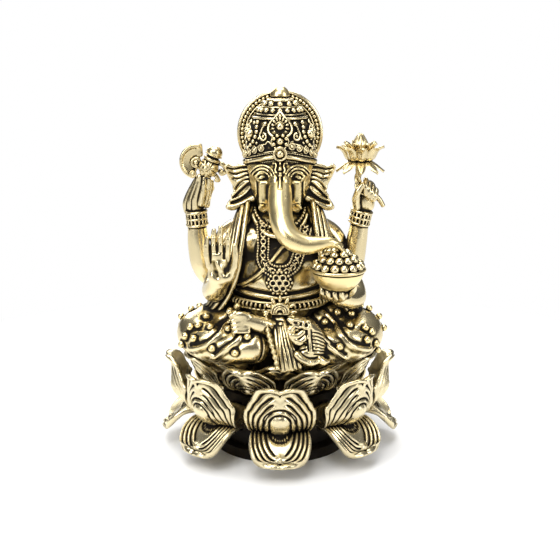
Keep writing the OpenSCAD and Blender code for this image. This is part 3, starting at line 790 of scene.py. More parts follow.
def loft(rings):
    """Oval rings [height, centre y, half width, half depth] blended into one form."""
    r = spline([[z + SEAT, cy, rx, ry] for z, cy, rx, ry in rings], 10)
    lo = vec(-r[:, 2].max(), (r[:, 1] - r[:, 3]).min(), r[0, 0])
    hi = vec(r[:, 2].max(), (r[:, 1] + r[:, 3]).max(), r[-1, 0])

    def fn(x, y, z):
        cy, rx, ry = (np.interp(z, r[:, 0], r[:, k]).astype(np.float32) for k in (1, 2, 3))
        v = y - cy
        a = np.sqrt((x / rx) ** 2 + (v / ry) ** 2)
        b = np.sqrt((x / rx ** 2) ** 2 + (v / ry ** 2) ** 2) + 1e-5
        return np.maximum(a * (a - 1) / b, np.maximum(r[0, 0] - z, z - r[-1, 0]))
    return lo, hi, fn


def on_torso(z, turn, off=0.0):
    """Point on the body at a height above the seat, turned from the front in degrees."""
    r = spline(TORSO_RINGS, 10)
    cy, rx, ry = (np.interp(z, r[:, 0], r[:, k]) for k in (1, 2, 3))
    a = math.radians(turn)
    return at((rx + off) * math.sin(a), cy - (ry + off) * math.cos(a), z)


def torso():
    clay = Clay([-32, -34, 48], [32, 24, 126])
    clay.add(loft(TORSO_RINGS), 0)
    for side in (-1, 1):
        clay.add(egg(at(side * 11.5, -12.4, 56.5), [9.5, 9, 7.5]), 4)        # breast
        clay.press([on_torso(51.5 - 2.5 * math.cos(math.radians(t - 34)), side * t, 0.6)
                    for t in range(12, 64, 6)], 1.5, 0.5)                # crease under it
        clay.press([on_torso(58, side * 62, 0), on_torso(50, side * 66, 0), on_torso(42, side * 66, 0)],
                   2.2, 0.9)
        clay.press([on_torso(64, side * 150, 0.5), on_torso(56, side * 140, 0.5),
                    on_torso(47, side * 148, 0.5)], 3.0, 0.9)            # shoulder blade
    clay.add(egg(at(0, -8.4, 63.5), [13.5, 9.5, 6.5]), 3)                 # chest above the breasts
    clay.add(egg(at(0, -11, 36), [21, 18.5, 9]), 4)
    clay.press([on_torso(33.4 + 2.6 * abs(math.sin(math.radians(t))), t, 0.3) for t in range(-80, 81, 8)],
               1.4, 1.3)                                                 # fold over the belt
    clay.press([on_torso(31.4 + 2.6 * abs(math.sin(math.radians(t))), t, 1.0) for t in range(-80, 81, 8)],
               1.2, -0.8)
    clay.press([on_torso(z, 180, 0.2) for z in range(20, 66, 6)], 2.2, 1.4)    # spine
    clay.cut(ball(at(0, -30.4, 36.5), 1.7), 0.8)                         # navel
    casting("torso", clay.mesh(Soup()), M_ANTIQUE)
    return clay


TORSO = torso()


def belly(points, off):
    """Points [x, height] laid on the front of the body."""
    return front(TORSO, points, off)


# ---------------------------------------------------------------- legs, cloth and studs
LEG_PATHS = {
    "left": [[-15, 1, 13, 12], [-28, -6, 12.5, 12.5], [-38, -15, 11.5, 11], [-35, -26, 9.5, 9.5],
             [-24, -33, 9, 8.7], [-13, -36, 9.5, 8]],
    "right": [[15, 1, 13, 12], [28, -6, 12.5, 12.5], [38, -15, 11.5, 11], [35, -26, 9.5, 9.5],
              [24, -32, 9, 8.7], [6, -34, 8.5, 7.5]]}
LEG_STUDS = {
    "left": [[-26.6, 26], [-35.6, 20.6], [-42.6, 16.8], [-38.8, 18], [-33.2, 17.6], [-45, 12.7],
             [-40.8, 12.8], [-47, 8], [-24.9, 17.4], [-15.2, 15.6], [-31.7, 9.8], [-20.8, 8.8]],
    "right": [[34.4, 21.5], [40.6, 17], [43.6, 14.8], [33.4, 18.2], [21.5, 18.5], [41.2, 12.2], [45.9, 9],
              [28, 11], [27.6, 22.5], [47, 4.6]]}
FOLDS = {
    "left": [[[-21, 22], [-24.5, 19.5], [-29.8, 15.2], [-35.9, 10.6], [-43, 7]],
             [[-13.5, 19.2], [-16.8, 17.4], [-21.2, 13.6], [-27, 9.2], [-31, 5]]],
    "right": [[[22.5, 22], [25.7, 19.6], [29.4, 15.8], [34.7, 10.6], [43, 7]],
              [[10.5, 22], [13.5, 20], [17, 17.4], [20.6, 13.4], [27, 8.6], [31, 4.5]]]}
STUDS = Soup()


def set_stud(clay, p, radius):
    """A ball in a round recess, on the front of a clay."""
    q = on_skin(clay, [p])
    if len(q):
        c = q[0]
        n = surface_normal(clay, c)
        beads(STUDS, [c + n * radius * 0.35], radius, 3)
        ring_recess(clay, c, n, radius * 1.55)


def surface_normal(clay, p):
    i = np.clip(((p - clay.lo) / clay.h).astype(int), 2, clay.n - 3)
    g = [clay.d[tuple(i + e)] - clay.d[tuple(i - e)] for e in 2 * np.eye(3, dtype=int)]
    return unit(np.array(g, float) + 1e-9)


def ray_hit(clay, start, way):
    """Where a ray from inside a clay leaves it."""
    for reach in np.arange(2, 24, 0.2):
        p = start + way * reach
        i = ((p - clay.lo) / clay.h).astype(int)
        if (i < 2).any() or (i > clay.n - 3).any():
            return None
        if clay.d[tuple(i)] > 0:
            return p
    return None


def ring_recess(clay, c, n, r):
    s = unit(np.cross(n, [0.1, 0.3, 1]))
    v = np.cross(n, s)
    a = np.linspace(0, 2 * np.pi, 17)[:, None]
    clay.press(c + r * (np.cos(a) * s + np.sin(a) * v), 0.5, 0.3, 0)


def leg(side):
    sign = -1 if side == "left" else 1
    path = raise_path(LEG_PATHS[side])
    lo = vec(-51 if sign < 0 else -4, -46, SEAT - 1)
    hi = vec(4 if sign < 0 else 51, 16, SEAT + 31)
    clay = Clay(lo, hi)
    clay.add(rope(spline(path, 5)), 3)
    clay.add(egg(at(sign * 41, -16, 11), [9, 11, 9.5]), 4)               # knee
    clay.add(egg(at(sign * 24, -12, 14), [17, 15, 12]), 4)               # thigh
    for line in FOLDS[side]:
        pts = spline(line, 6)
        ridge = front(clay, pts, 0.0)
        groove = on_skin(clay, [[x - sign * 0.4, z + SEAT + 2.3] for x, z in pts], 0.0)
        low = on_skin(clay, [[x, z + SEAT - 2.8] for x, z in pts], 0.0)
        clay.press(ridge, np.linspace(1.0, 1.7, len(ridge)), -1.35)
        clay.press(groove, np.linspace(0.9, 1.4, len(groove)), 1.5)
        clay.press(low, 1.6, 0.5)
    # cloth folds that run from the hip over the thigh
    for dz, depth in ((3.0, 0.8), (6.5, 0.7), (10, 0.6)):
        run = [[sign * (18 + 3.2 * k), SEAT + 24 - 0.3 * dz - 1.1 * k + 0.2 * k * k * 0.2] for k in range(8)]
        pts = on_skin(clay, [[x, z - dz * 0.35] for x, z in run])
        if len(pts) > 2:
            clay.press(pts, 1.3, depth * 0.6)
    for k in range(5):
        a = math.radians(20 + 25 * k)
        back = [at(sign * (20 + 24 * math.sin(a) * t), 8 - 14 * t + 3 * math.cos(a),
                   4 + 20 * (1 - t) * math.cos(a) + 4)
                for t in np.linspace(0.1, 1, 7)]
        clay.press(back, 1.6, 0.9)
    if side == "left":
        # the shin ends in a rounded hem
        hem = [[-9.4, 17], [-8.2, 13], [-8.4, 8], [-10, 4.5]]
        clay.press(front(clay, spline(hem, 5)), 0.7, 0.7)
    clay.cut(slab(at(0, -16, -8), [60, 50, 8.2]), 0.3)                   # flat where it sits
    for x, z in LEG_STUDS[side]:
        set_stud(clay, [x, z + SEAT], 1.75)
    knee = at(sign * 38, -12, 11)
    for x, y, z in ((1, -0.35, 0.2), (1, -0.1, 0.7), (0.5, -0.1, 1), (1, 0.35, 0.15), (0.8, 0.8, 0.5),
                    (0.3, 1, 0.3), (0.2, 0.7, 1), (-0.4, 1, 0.5)):
        way = unit(vec(sign * x, y, z))
        hit = ray_hit(clay, knee, way)
        if hit is not None:
            beads(STUDS, [hit + way * 0.5], 1.7, 3)
            ring_recess(clay, hit, way, 2.6)
    casting(f"{side}_leg", clay.mesh(Soup()), M_ANTIQUE)


leg("left")
leg("right")


def foot():
    """The sole and toes of the folded foot, resting on the left thigh."""
    clay = Clay([-27, -46, SEAT + 14], [4, -24, SEAT + 32])
    body = raise_path([[0, -33, 16.5, 4.6], [-6, -35.5, 19.2, 4.5], [-12, -37, 21.6, 4.0],
                       [-17, -37.6, 23.2, 3.5]])
    clay.add(rope(spline(body, 4), flat=((0, 1, 0.2), 0.85)), 1)
    for k in range(5):
        z0, z1 = 26.2 - 1.75 * k, 26.9 - 1.85 * k
        r = 1.35 if k else 1.75
        toe = raise_path([[-15, -38.4 - 0.35 * k, z0 - 0.8, r], [-19, -39 - 0.25 * k, z1 - 0.6, r],
                          [-22.3 + 0.25 * k, -38.6 - 0.2 * k, z1 - 1.2, r * 1.02]])
        clay.add(rope(spline(toe, 4)), 0.5)
    for k in range(4):
        z = 24.6 - 1.85 * k
        clay.press([at(-16.5, -41.5, z), at(-20, -41.4, z + 0.2), at(-23.5, -39.5, z - 0.2)], 0.55, 0.7)
    for z0, z1 in ((25.4, 21.6), (23.2, 19.6), (21, 17.8)):
        clay.press([at(-15, -42, z0), at(-9, -41.2, (z0 + z1) / 2), at(-3.4, -39.4, z1)], 0.5, 0.6)
    clay.press([at(-2.5, -38.4, 22), at(-1.6, -38.4, 17.5), at(-2.2, -37.6, 13.5)], 0.7, 0.7)
    s = Soup()
    clay.mesh(s)
    # toe ring studs above the big toe
    beads(s, [at(-21, -39.2, 26.8)], 1.75, 3)
    beads(s, [at(-23.8, -36.8, 27.2)], 1.4, 3)
    casting("foot", s, M_ANTIQUE)


foot()


def front_sash():
    """The pleated end of the sash that falls between the legs, with its bead string."""
    clay = Clay([-12, -50, SEAT - 0.5], [14, -22, SEAT + 31])
    fan = [[-3.4, -30.5, 24], [-2.6, -35, 21], [-1.6, -40, 16.5], [-0.6, -43.6, 11], [0.6, -45.4, 5],
           [1.4, -45.6, 1.2]]
    for k in range(6):
        spread = 1.5 * k
        line = [[x + spread * (0.35 + 0.13 * i), y - 0.25 * k + 0.5 * max(k - 2, 0), z + 0.35 * k]
                for i, (x, y, z) in enumerate(fan)]
        path = raise_path([p + [1.15 + 0.05 * i] for i, p in enumerate(line)])
        clay.add(rope(spline(path, 5)), 0.25)
    plate = raise_path([[0.8, -28.4, 22.5, 2.4], [1.8, -33.2, 19, 3.4], [3.6, -38.4, 13, 4.2],
                        [5, -40.8, 6.6, 4.8], [5.4, -41, 2, 5]])
    clay.add(rope(spline(plate, 4), flat=((0.1, 1, 0.4), 0.45)), 0.4)
    for k in range(5):
        pleat = [[-1.8 + 1.0 * k, 22.5], [-1.2 + 1.5 * k, 15], [-0.6 + 1.9 * k, 8], [0.2 + 2.1 * k, 1.5]]
        clay.press(front(clay, spline(pleat, 5)), 0.5, 0.9)
    apron = raise_path([[4.5, -29.5, 23, 2.6], [6.8, -34, 19, 3.6], [10, -37, 12, 4.3]])
    clay.add(rope(spline(apron, 4), flat=((0.1, 1, 0.5), 0.4)), 0.5)
    clay.cut(slab(at(0, -36, -6), [30, 30, 6.2]), 0.2)
    s = Soup()
    clay.mesh(s)
    string = spline([[-6.7, -35, 25.2], [-6.2, -38, 21.4], [-5.4, -41, 18], [-4.3, -44, 14.4],
                     [-3, -46, 10.4], [-1.8, -47, 6], [-1.2, -47, 2.6]], 12)
    beads(s, evenly(string, 2.75) + SEAT_UP, 1.25, 3)
    beads(s, evenly(string, 1.375)[1::2] + SEAT_UP, 0.75, 2)
    beads(s, [at(0.4, -36.6, 20.6)], 1.7, 3)
    casting("front_sash", s, M_SHADE)


front_sash()
beads(STUDS, [at(-20.5, -24.5, 26.5), at(-24, -22, 23.8)], 1.7, 3)
casting("dhoti_studs", STUDS, M_POLISHED)


# ---------------------------------------------------------------- belt and buckle
def belt_height(turn):
    return 29.2 - 2 * max(0.0, math.cos(math.radians(turn)))


def belt():
    s = Soup()
    turns = np.arange(0, 360, 3.6)
    for dz, off, r in ((1.9, 1.8, 0.6), (-1.9, 2.1, 0.5)):
        tube(s, [on_torso(belt_height(t) + dz, t, off) for t in turns], r, 8, looped=True, up=(0.01, 0.02, 1))
    band = [on_torso(belt_height(t), t, 1.0) for t in turns]
    tube(s, band, 1.5, 10, looped=True, flat=0.5, up=(0.01, 0.02, 1))
    for k in range(72):
        t = 360 * k / 72
        if min(t, 360 - t) < 12:
            continue
        z = belt_height(t)
        rib = [on_torso(z + h, t, 2.1 + b) for h, b in ((-1.7, 0.2), (-0.9, 0.9), (0, 1.1), (0.9, 0.9),
                                                        (1.6, 0.2))]
        tube(s, rib, [0.35, 0.58, 0.62, 0.58, 0.35], 8,
             up=(math.sin(math.radians(t)), -math.cos(math.radians(t)), 0.02))
    casting("belt", s, M_SHADE)


def buckle():
    """Half sunburst over a double arch."""
    s = Soup()
    c = at(0, -34.4, 26.2)
    for r, w in ((4.1, 0.55), (2.9, 0.4), (1.8, 0.5)):
        arch = [c + vec(r * math.cos(a), -0.6 - (4.1 - r) * 0.12, r * math.sin(a))
                for a in np.linspace(-0.15, np.pi + 0.15, 22)]
        tube(s, arch, w, 8)
    beads(s, [c + vec(2.3 * math.cos(a), -0.7, 2.3 * math.sin(a))
              for a in np.linspace(0.2, np.pi - 0.2, 7)], 0.3, 2)
    for k in range(7):
        a = math.radians(2 + 176 * k / 6)
        d = vec(math.cos(a), 0, math.sin(a))
        tube(s, [c + d * r + vec(0, -0.3 + h, 0)
                 for r, h in ((4.9, 0), (6.0, -0.35), (7.2, -0.3), (8.2, 0.25))],
             [0.45, 0.85, 0.8, 0.35], 10)
    clay = Clay(c - vec(6, 3, 2), c + vec(6, 4, 6), 0.4)
    clay.add(slab(c + vec(0, 1.8, 1.2), [4.4, 2.2, 2.6], edge=0.6), 0.3)
    clay.mesh(s)
    casting("belt_buckle", s, M_ANTIQUE)


belt()
buckle()


# ---------------------------------------------------------------- shawls
SHAWLS = {
    "left": [[-15, 7, 67, 5.4], [-17, -2, 69.5, 5.6], [-20, -10, 64, 5.4], [-22.2, -15, 54, 5.2],
             [-24, -17, 43, 4.8], [-28, -16.5, 32, 4.6], [-34, -14, 22, 4.2]],
    "right": [[15, 7, 67, 5.4], [17, -2, 69.5, 5.6], [20, -10, 64, 5.4], [22.2, -15, 54, 5.2],
              [25, -17, 43, 4.8], [31, -18, 32, 4.4], [36.5, -15, 22, 4.0]]}


def shawl(side):
    """Four or five rounded folds lying side by side over the shoulder and down to the hip."""
    sign = -1 if side == "left" else 1
    path = spline(SHAWLS[side], 6)
    clay = Clay([min(-8, sign * 8) - 36 * (sign < 0), -30, SEAT + 14],
                [max(8, sign * 8) + 38 * (sign > 0), 16, SEAT + 80])
    t = np.gradient(path[:, :3], axis=0)
    t /= np.linalg.norm(t, axis=1)[:, None]
    centre = vec(0, -2, 0)
    out = path[:, :3] - centre
    out[:, 2] = 4
    wide = np.cross(t, out)
    wide /= np.linalg.norm(wide, axis=1)[:, None]
    nrm = np.cross(wide, t)
    nrm *= np.sign((nrm * out).sum(1))[:, None]
    for k in range(6):
        u = (k - 2.5) / 2.5
        p = path[:, :3] + wide * (path[:, 3:4] * u * 1.25) + nrm * (1.5 - 2.2 * u * u + 0.3 * (k % 2))
        r = np.full((len(p), 1), 1.15 + 0.15 * (k % 2))
        clay.add(rope(np.hstack([p + SEAT_UP, r])), 0.3)
    bed = np.hstack([path[:, :3] - nrm * 1.0 + SEAT_UP, path[:, 3:4] * 1.1])
    axis = (sign * 0.75, -0.6, 0.3)
    clay.add(rope(bed, flat=(axis, 0.5)), 0.2)
    casting(f"shawl_{side}", clay.mesh(Soup()), M_ANTIQUE)


shawl("left")
shawl("right")


# ---------------------------------------------------------------- thread, collar, garland and pendant
def sacred_thread():
    s = Soup()
    path = belly([[-22.5, 35], [-18, 37], [-12, 41.4], [-8.5, 44.6], [-4, 49], [1, 54.6], [6, 59],
                  [12, 62.4]], 0.25)
    line = spline(path, 6)
    tube(s, line, 0.85, 10)
    tube(s, line + vec(0.7, 0, -1.2), 0.5, 8)
    back = [on_torso(40 + 20 * k / 12, 210 - 5 * k, 0.6) for k in range(13)]
    tube(s, spline(np.array(back), 4), 0.8, 10)
    casting("sacred_thread", s, M_POLISHED)


def collar():
    """Smooth crescent with a string of round beads inside it."""
    s = Soup()
    half = [[14.6, -3, 71.5], [13.6, -8.5, 69.8], [12.4, -12, 67], [10.6, -15.4, 64.2], [8.4, -18, 62.2],
            [5.4, -20.2, 60.8], [0, -21.4, 60.0]]
    line = spline([[-x, y, z] for x, y, z in half] + half[-2::-1], 8) + SEAT_UP
    t = np.linspace(-1, 1, len(line))
    tube(s, line, 0.7 + 0.75 * (1 - t ** 2), 12, flat=0.7, up=(0.01, -0.6, 1))
    inner = [[12.6, -5, 72], [11.8, -9.6, 69.8], [10.2, -13, 67.4], [8.2, -15.8, 65.6], [5.2, -18, 64.2],
             [0, -19, 63.6]]
    string = spline([[-x, y, z] for x, y, z in inner] + inner[-2::-1], 8) + SEAT_UP
    beads(s, evenly(string, 1.95), 0.82, 3)
    back = [on_torso(66.5, t, 0.8) for t in np.arange(76, 285, 6)]
    tube(s, back, 0.75, 10, up=(0.01, 0.02, 1))
    casting("collar", s, M_ANTIQUE)


def garland():
    """Two bead rows with square settings between them, hanging to the pendant."""
    s = Soup()
    mid = [[-8.6, 66], [-8, 60], [-8, 54], [-8.2, 50], [-6.6, 46.8], [-3.4, 45], [0, 44.6], [3.4, 45],
           [6.4, 46.8], [8.2, 50], [9.4, 54], [11, 59], [12.6, 64]]
    line = belly(spline(mid, 6), 0.5)
    t = np.gradient(line, axis=0)
    t /= np.linalg.norm(t, axis=1)[:, None]
    side = np.cross(t, vec(0, -1, 0))
    side /= np.linalg.norm(side, axis=1)[:, None]
    tube(s, line + vec(0, 0.5, 0), 1.9, 8, flat=0.4)
    for off, r in ((2.5, 0.62), (-2.5, 0.62)):
        beads(s, evenly(line + side * off, 1.35), r, 2)
    cells = evenly(line, 3.5)
    for c in cells[1:-1]:
        setting = circle(c, 1.15, 12, -0.35)
        tube(s, setting, 0.36, 6, looped=True)
    for c, nxt in zip(cells[:-1], cells[1:]):
        m = c + (nxt - c) * 0.5 + vec(0, -0.35, 0)
        for a in (0.78, 2.35, 3.93, 5.5):
            d = vec(math.cos(a), 0, math.sin(a))
            tube(s, [m, m + d * 0.9 + vec(0, 0.05, 0), m + d * 1.7 + vec(0, 0.35, 0)], [0.62, 0.4, 0.18], 6)
    casting("garland", s, M_ANTIQUE)


def pendant():
    """Seven ringed gems in a bead-edged hexagon."""
    s = Soup()
    c = on_skin(TORSO, [[-0.2, SEAT + 39.6]], 1.2)[0]
    tilt = rot((1, 0, 0), 8)
    spots = [(0, 0)] + [(3.1 * math.cos(math.radians(60 * k)), 3.1 * math.sin(math.radians(60 * k)))
                        for k in range(6)]
    for x, z in spots:
        p = c + tilt @ vec(x, -0.2, z)
        ring_gem(s, p, tilt @ vec(0, -1, 0), 1.4, 0.42, 0.5, 0.5)
        darken(s, [p], 0.75)
    for k in range(18):
        a = math.radians(20 * k)
        r = 5.6 + 0.35 * math.cos(6 * a)
        beads(s, [c + tilt @ vec(r * math.cos(a), 0.1, r * math.sin(a))], 0.72, 2)
    clay = Clay(c - vec(7, 3, 7), c + vec(7, 4, 7), 0.4)
    clay.add(egg(c + vec(0, 1.2, 0), [5.6, 1.5, 5.6]), 0.2)
    clay.mesh(s)
    beads(s, [c + vec(0, -0.4, 6.3)], 1.0, 2)
    casting("pendant", s, M_ANTIQUE)


sacred_thread()
collar()
garland()
pendant()


# ---------------------------------------------------------------- head
HEAD_RINGS = [[70, 1, 9, 7.5], [72, 0, 9.3, 8], [76, -5, 12.2, 11], [83, -8, 14.2, 14], [91, -8, 15.2, 15.6],
              [97, -7, 15, 15.5], [101, -7, 13, 13]]
EYE = vec(8.3, -22.4, 88.2)


def head():
    clay = Clay([-19, -33, SEAT + 69], [19, 12, SEAT + 103], FINE_VOXEL)
    clay.add(loft(HEAD_RINGS), 0)
    clay.add(rope(raise_path([[0, -15, 98, 6.4], [0, -19.5, 92, 5.8], [0, -23.4, 86, 5.6],
                              [0, -24.9, 83.2, 5.3]])), 2.0)
    clay.add(egg(at(0, -14, 73.5), [7.5, 7.5, 5]), 3)                     # jaw under the trunk
    clay.add(egg(at(0, -1.5, 75), [13.5, 8.5, 7.5]), 2)                   # thick neck
    for sign in (-1, 1):
        e = EYE * [sign, 1, 1]
        clay.add(egg(at(sign * 8.6, -15.2, 91.6), [6.8, 7.4, 5.0]), 2.5)  # brow
        clay.add(slab(at(sign * 6.4, -21.6, 82.0), [3.5, 3.2, 5.0], edge=1.2), 1.6)      # flat cheek plate
        clay.add(egg(at(sign * 7.6, -22.6, 77.0), [2.3, 2.6, 2.1]), 0.6)   # cheek bulge over the tusk
        clay.add(egg(at(sign * 7.8, -22.2, 74.0), [2.1, 2.4, 2.2]), 0.5)   # tusk socket
        clay.press(on_skin(clay, [[sign * x, z + SEAT] for x, z in
                                  ([10.9, 85.4], [10.9, 82], [10.7, 78], [10.5, 75])]), 0.6, 0.7)
        # brow arcs, each a ridge with a dark line under it
        arcs = []
        for r in (3.9, 5.3, 6.7):
            turn = np.radians(np.arange(24, 154, 7))
            arcs.append(on_skin(clay, [[sign * (8.3 + 0.95 * r * math.cos(a)),
                                        SEAT + 87.2 + r * math.sin(a)] for a in turn]))
            low = on_skin(clay, [[sign * (8.3 + 0.95 * (r - 0.7) * math.cos(a)),
                                  SEAT + 87.2 + (r - 0.7) * math.sin(a)] for a in turn])
            clay.press(low, 0.42, 1.0)
        for arc in arcs:
            clay.add(rope(np.hstack([arc + vec(0, 0.25, 0), np.full((len(arc), 1), 0.55)])), 0.3)
        clay.cut(egg(at(sign * 8.3, -26.2, 88.3), [3.0, 3.0, 1.9], rot((0, 1, 0), sign * 22)), 0.3)
        ball_y = skin_y(clay, e[0], e[2] + SEAT)
        clay.add(egg(vec(e[0], ball_y + 0.6, e[2] + SEAT), [2.5, 1.9, 1.75], rot((0, 1, 0), sign * 22)), 0.1)
        # lids: an almond that slants down towards the trunk
        upper = [[5.2, 86.8], [5.9, 88.6], [7.6, 90.2], [9.6, 90.3], [11.4, 88.9]]
        lower = [[5.2, 86.8], [6.6, 86.0], [8.4, 85.9], [10.2, 87.0], [11.4, 88.9]]
        for lid, thick in ((upper, 0.58), (lower, 0.45)):
            pts = np.array([[sign * x, ball_y - 0.75 + 0.05 * (x - 8.3) ** 2, z + SEAT, thick]
                            for x, z in spline(lid, 5)])
            clay.add(rope(pts), 0.2)
        iris = vec(e[0] - sign * 0.6, ball_y - 1.35, e[2] - 0.2 + SEAT)
        clay.press([iris, iris + vec(0.01, 0, 0)], np.array([0.5]), 0.5)
    # trident on the brow: a sunk panel with a raised mark
    def on_brow(points, off=0.0):
        return front(clay, spline(points, 6), off)

    panel = on_brow([[0, 95.4], [0, 92], [0, 88.6]])
    clay.press(panel, np.linspace(3.0, 1.5, len(panel)), 0.8)
    # the sunk panel is darkened: painted shade
    darken(clay, panel[4:], 2.2, 0.35)
    marks = [([[0, 88.8], [0, 90.4], [0, 92.8]], 0.5), ([[0, 92.6], [0, 93.8], [0, 95.2]], 0.85),
             ([[0, 95], [0, 95.8], [0, 96.6]], 0.4), ([[-1.1, 90.2], [0, 89.9], [1.1, 90.2]], 0.5)]
    for sign in (-1, 1):
        marks.append(([[0, 91.0], [sign * 1.5, 91.0], [sign * 2.3, 92.2], [sign * 1.8, 93.6],
                       [sign * 1.9, 94.8], [sign * 2.6, 95.5], [sign * 3.2, 95.1]], 0.48))
    for line, r in marks:
        pts = on_brow(line, 0.25)
        clay.add(rope(np.hstack([pts, np.full((len(pts), 1), r)])), 0.15)
    # the drop below it
    for sign in (-1, 1):
        clay.press(on_brow([[sign * 1.2, 88.6], [sign * 1.4, 86.4], [sign * 0.8, 84.6]]), 0.4, 0.35, 0.8)
    drop = on_brow([[0, 88.2], [0, 86.6], [0, 84.8], [0, 84.2]], 0.1)
    clay.add(rope(np.hstack([drop, np.linspace(0.5, 1.15, len(drop))[:, None]])), 0.3)
    # hair lines at the back
    for k in range(-5, 6):
        a = math.radians(180 + 13 * k)
        pts = [at(15.6 * math.sin(a) * w, -8 - 15.8 * math.cos(a) * w, z)
               for z, w in ((96, 1.0), (90, 1.0), (84, 0.96), (79, 0.88))]
        clay.press(pts, 1.0, 0.5, 0)
    casting("head", clay.mesh(Soup()), M_FACE)


def trunk():
    s = Soup()
    path = raise_path([[0, -22.0, 88, 3.4], [0, -23.9, 85.0, 5.2], [0, -26.75, 80.5, 5.6],
                       [0.1, -31.2, 74.4, 5.5], [1.4, -36.6, 68, 5.3], [5.0, -39.6, 62.8, 5.2],
                       [11.2, -40.8, 60.1, 4.6], [17.6, -41, 60.3, 3.6], [22.2, -40.6, 61.0, 2.6],
                       [25.6, -40, 60.2, 2.0], [28.4, -39.4, 58.6, 1.3]])
    route = spline(path, 14)
    tube(s, route[:, :3], route[:, 3], 48, up=(0.9, 0.1, 0.3))
    # the two fingers of the tip and the crease between them
    tip = raise_path([[24.8, -41.6, 60.4, 0.9], [27, -41.4, 59.2, 1.0], [28.6, -40.6, 57.2, 0.7]])
    tip = spline(tip, 6)
    tube(s, tip[:, :3], tip[:, 3], 12)
    casting("trunk", s, M_POLISHED)


EAR_EDGE = [[-12.6, 92.8], [-16.4, 92.9], [-21, 92.0], [-26.1, 92.2], [-26.8, 90.6], [-25.4, 86.5],
            [-23.4, 82.4], [-22.7, 79.4], [-23.8, 76], [-26.0, 72.6], [-25.0, 70.2], [-22.6, 69.8],
            [-18.6, 71.4], [-14.6, 73.6], [-11.0, 75.8], [-10.6, 81], [-11.4, 88]]
EAR_GROOVES = [[[-25.4, 90.8], [-22.5, 89.9], [-19, 90.6], [-14.6, 91.4]],
               [[-24.4, 88.4], [-21.5, 87.4], [-18, 88.6], [-14, 89.2]],
               [[-22.8, 85.4], [-19.8, 85.2], [-16.6, 87.0], [-13.2, 87.2]],
               [[-22.2, 79.4], [-20.4, 82.2], [-17.6, 84.6], [-13.8, 85.2]],
               [[-23.0, 75.8], [-20.0, 78.6], [-17.2, 81.2], [-15.4, 83.0]],
               [[-23.6, 73.6], [-19.4, 75.2], [-15.8, 77.8], [-13.4, 81.2]]]


def ear(side):
    sign = 1 if side == "left" else -1

    def mid(x, z):
        out = np.abs(x) - 13
        return -6.5 + 0.34 * out + 0.9 * np.cos((z - SEAT - 80) * 0.26) - 0.0012 * out ** 3

    lo, hi = (-29, -10) if sign > 0 else (10, 29)
    clay = Clay([lo, -13, SEAT + 67], [hi, 4, SEAT + 95], FINE_VOXEL)
    edge = [[sign * x, z + SEAT] for x, z in EAR_EDGE]
    if sign < 0:
        edge = edge[::-1]
    clay.add(leaf(spline(edge + edge[:1], 4)[:-1], mid, 1.15), 0)
    rim = [[-25.2, 71.6], [-22.4, 71.6], [-18.4, 73.2], [-14.4, 75.4], [-11, 77.4]]
    clay.add(rope([[sign * x, mid(x, z + SEAT) - 1.0, z + SEAT, r]
                   for (x, z), r in zip(rim, (1.3, 1.5, 1.5, 1.5, 1.3))]), 0.5)
    clay.add(rope([[sign * x, mid(x, z + SEAT) - 0.6, z + SEAT, 0.9] for x, z in
                   [[-26, 91], [-22, 91.2], [-17, 92.2], [-13, 92.3]]]), 0.5)
    lines = [np.array([[sign * x, mid(x, z + SEAT) - 1.15, z + SEAT] for x, z in spline(groove, 6)])
             for groove in EAR_GROOVES]
    for line in lines:
        bulge = np.hstack([line + vec(0, 0.35, 1.2), np.full((len(line), 1), 0.85)])
        clay.add(rope(bulge), 0.5)
    for line in lines:
        clay.press(line, np.linspace(0.5, 0.8, len(line)), 1.2, 0.3)
    casting(f"{side}_ear", clay.mesh(Soup()), M_ANTIQUE)


def tusks():
    s = Soup()
    for sign in (-1, 1):
        route = spline(raise_path([[sign * 7.4, -21.5, 76.4, 1.5], [sign * 7.9, -24.6, 74.9, 1.45],
                                   [sign * 8.9, -27.2, 74.6, 1.15], [sign * 9.2, -29.0, 75.6, 0.75],
                                   [sign * 8.7, -29.8, 76.6, 0.35]]), 8)
        tube(s, route[:, :3], route[:, 3], 16)
        band = [at(sign * 7.9, -24.6, 74.9) + 1.55 * (math.cos(a) * vec(sign, 0.2, 0.1)
                                                      + math.sin(a) * vec(0, 0.3, 1))
                for a in np.linspace(0, 2 * np.pi, 19)[:-1]]
        tube(s, band, 0.35, 8, looped=True, up=(0, 1, 0.1))
    casting("tusks", s, M_POLISHED)


head()
trunk()
ear("left")
ear("right")
tusks()


# ---------------------------------------------------------------- crown
CROWN_PROFILE = [[92.5, 15.6], [95, 16.7], [99, 16.9], [104, 16.5], [108, 15.6], [112, 14], [115, 12.4],
                 [118, 10.4], [120.5, 8.2], [122.4, 6.4], [123.6, 5.2]]
CROWN_Y = -7.0
HALO = vec(0, 4.2, 106.4)


def crown_r(z):
    p = spline(CROWN_PROFILE, 8)
    return np.interp(z, p[:, 0], p[:, 1])


def on_crown(x, z, off=0.0):
    """Point on the front of the crown."""
    r = crown_r(z) + off
    x = np.clip(x, -r * 0.98, r * 0.98)
    return at(x, CROWN_Y - math.sqrt(r * r - x * x), z)


def round_crown(z, turn, off=0.0):
    a = math.radians(turn)
    r = crown_r(z) + off
    return at(r * math.sin(a), CROWN_Y - r * math.cos(a), z)


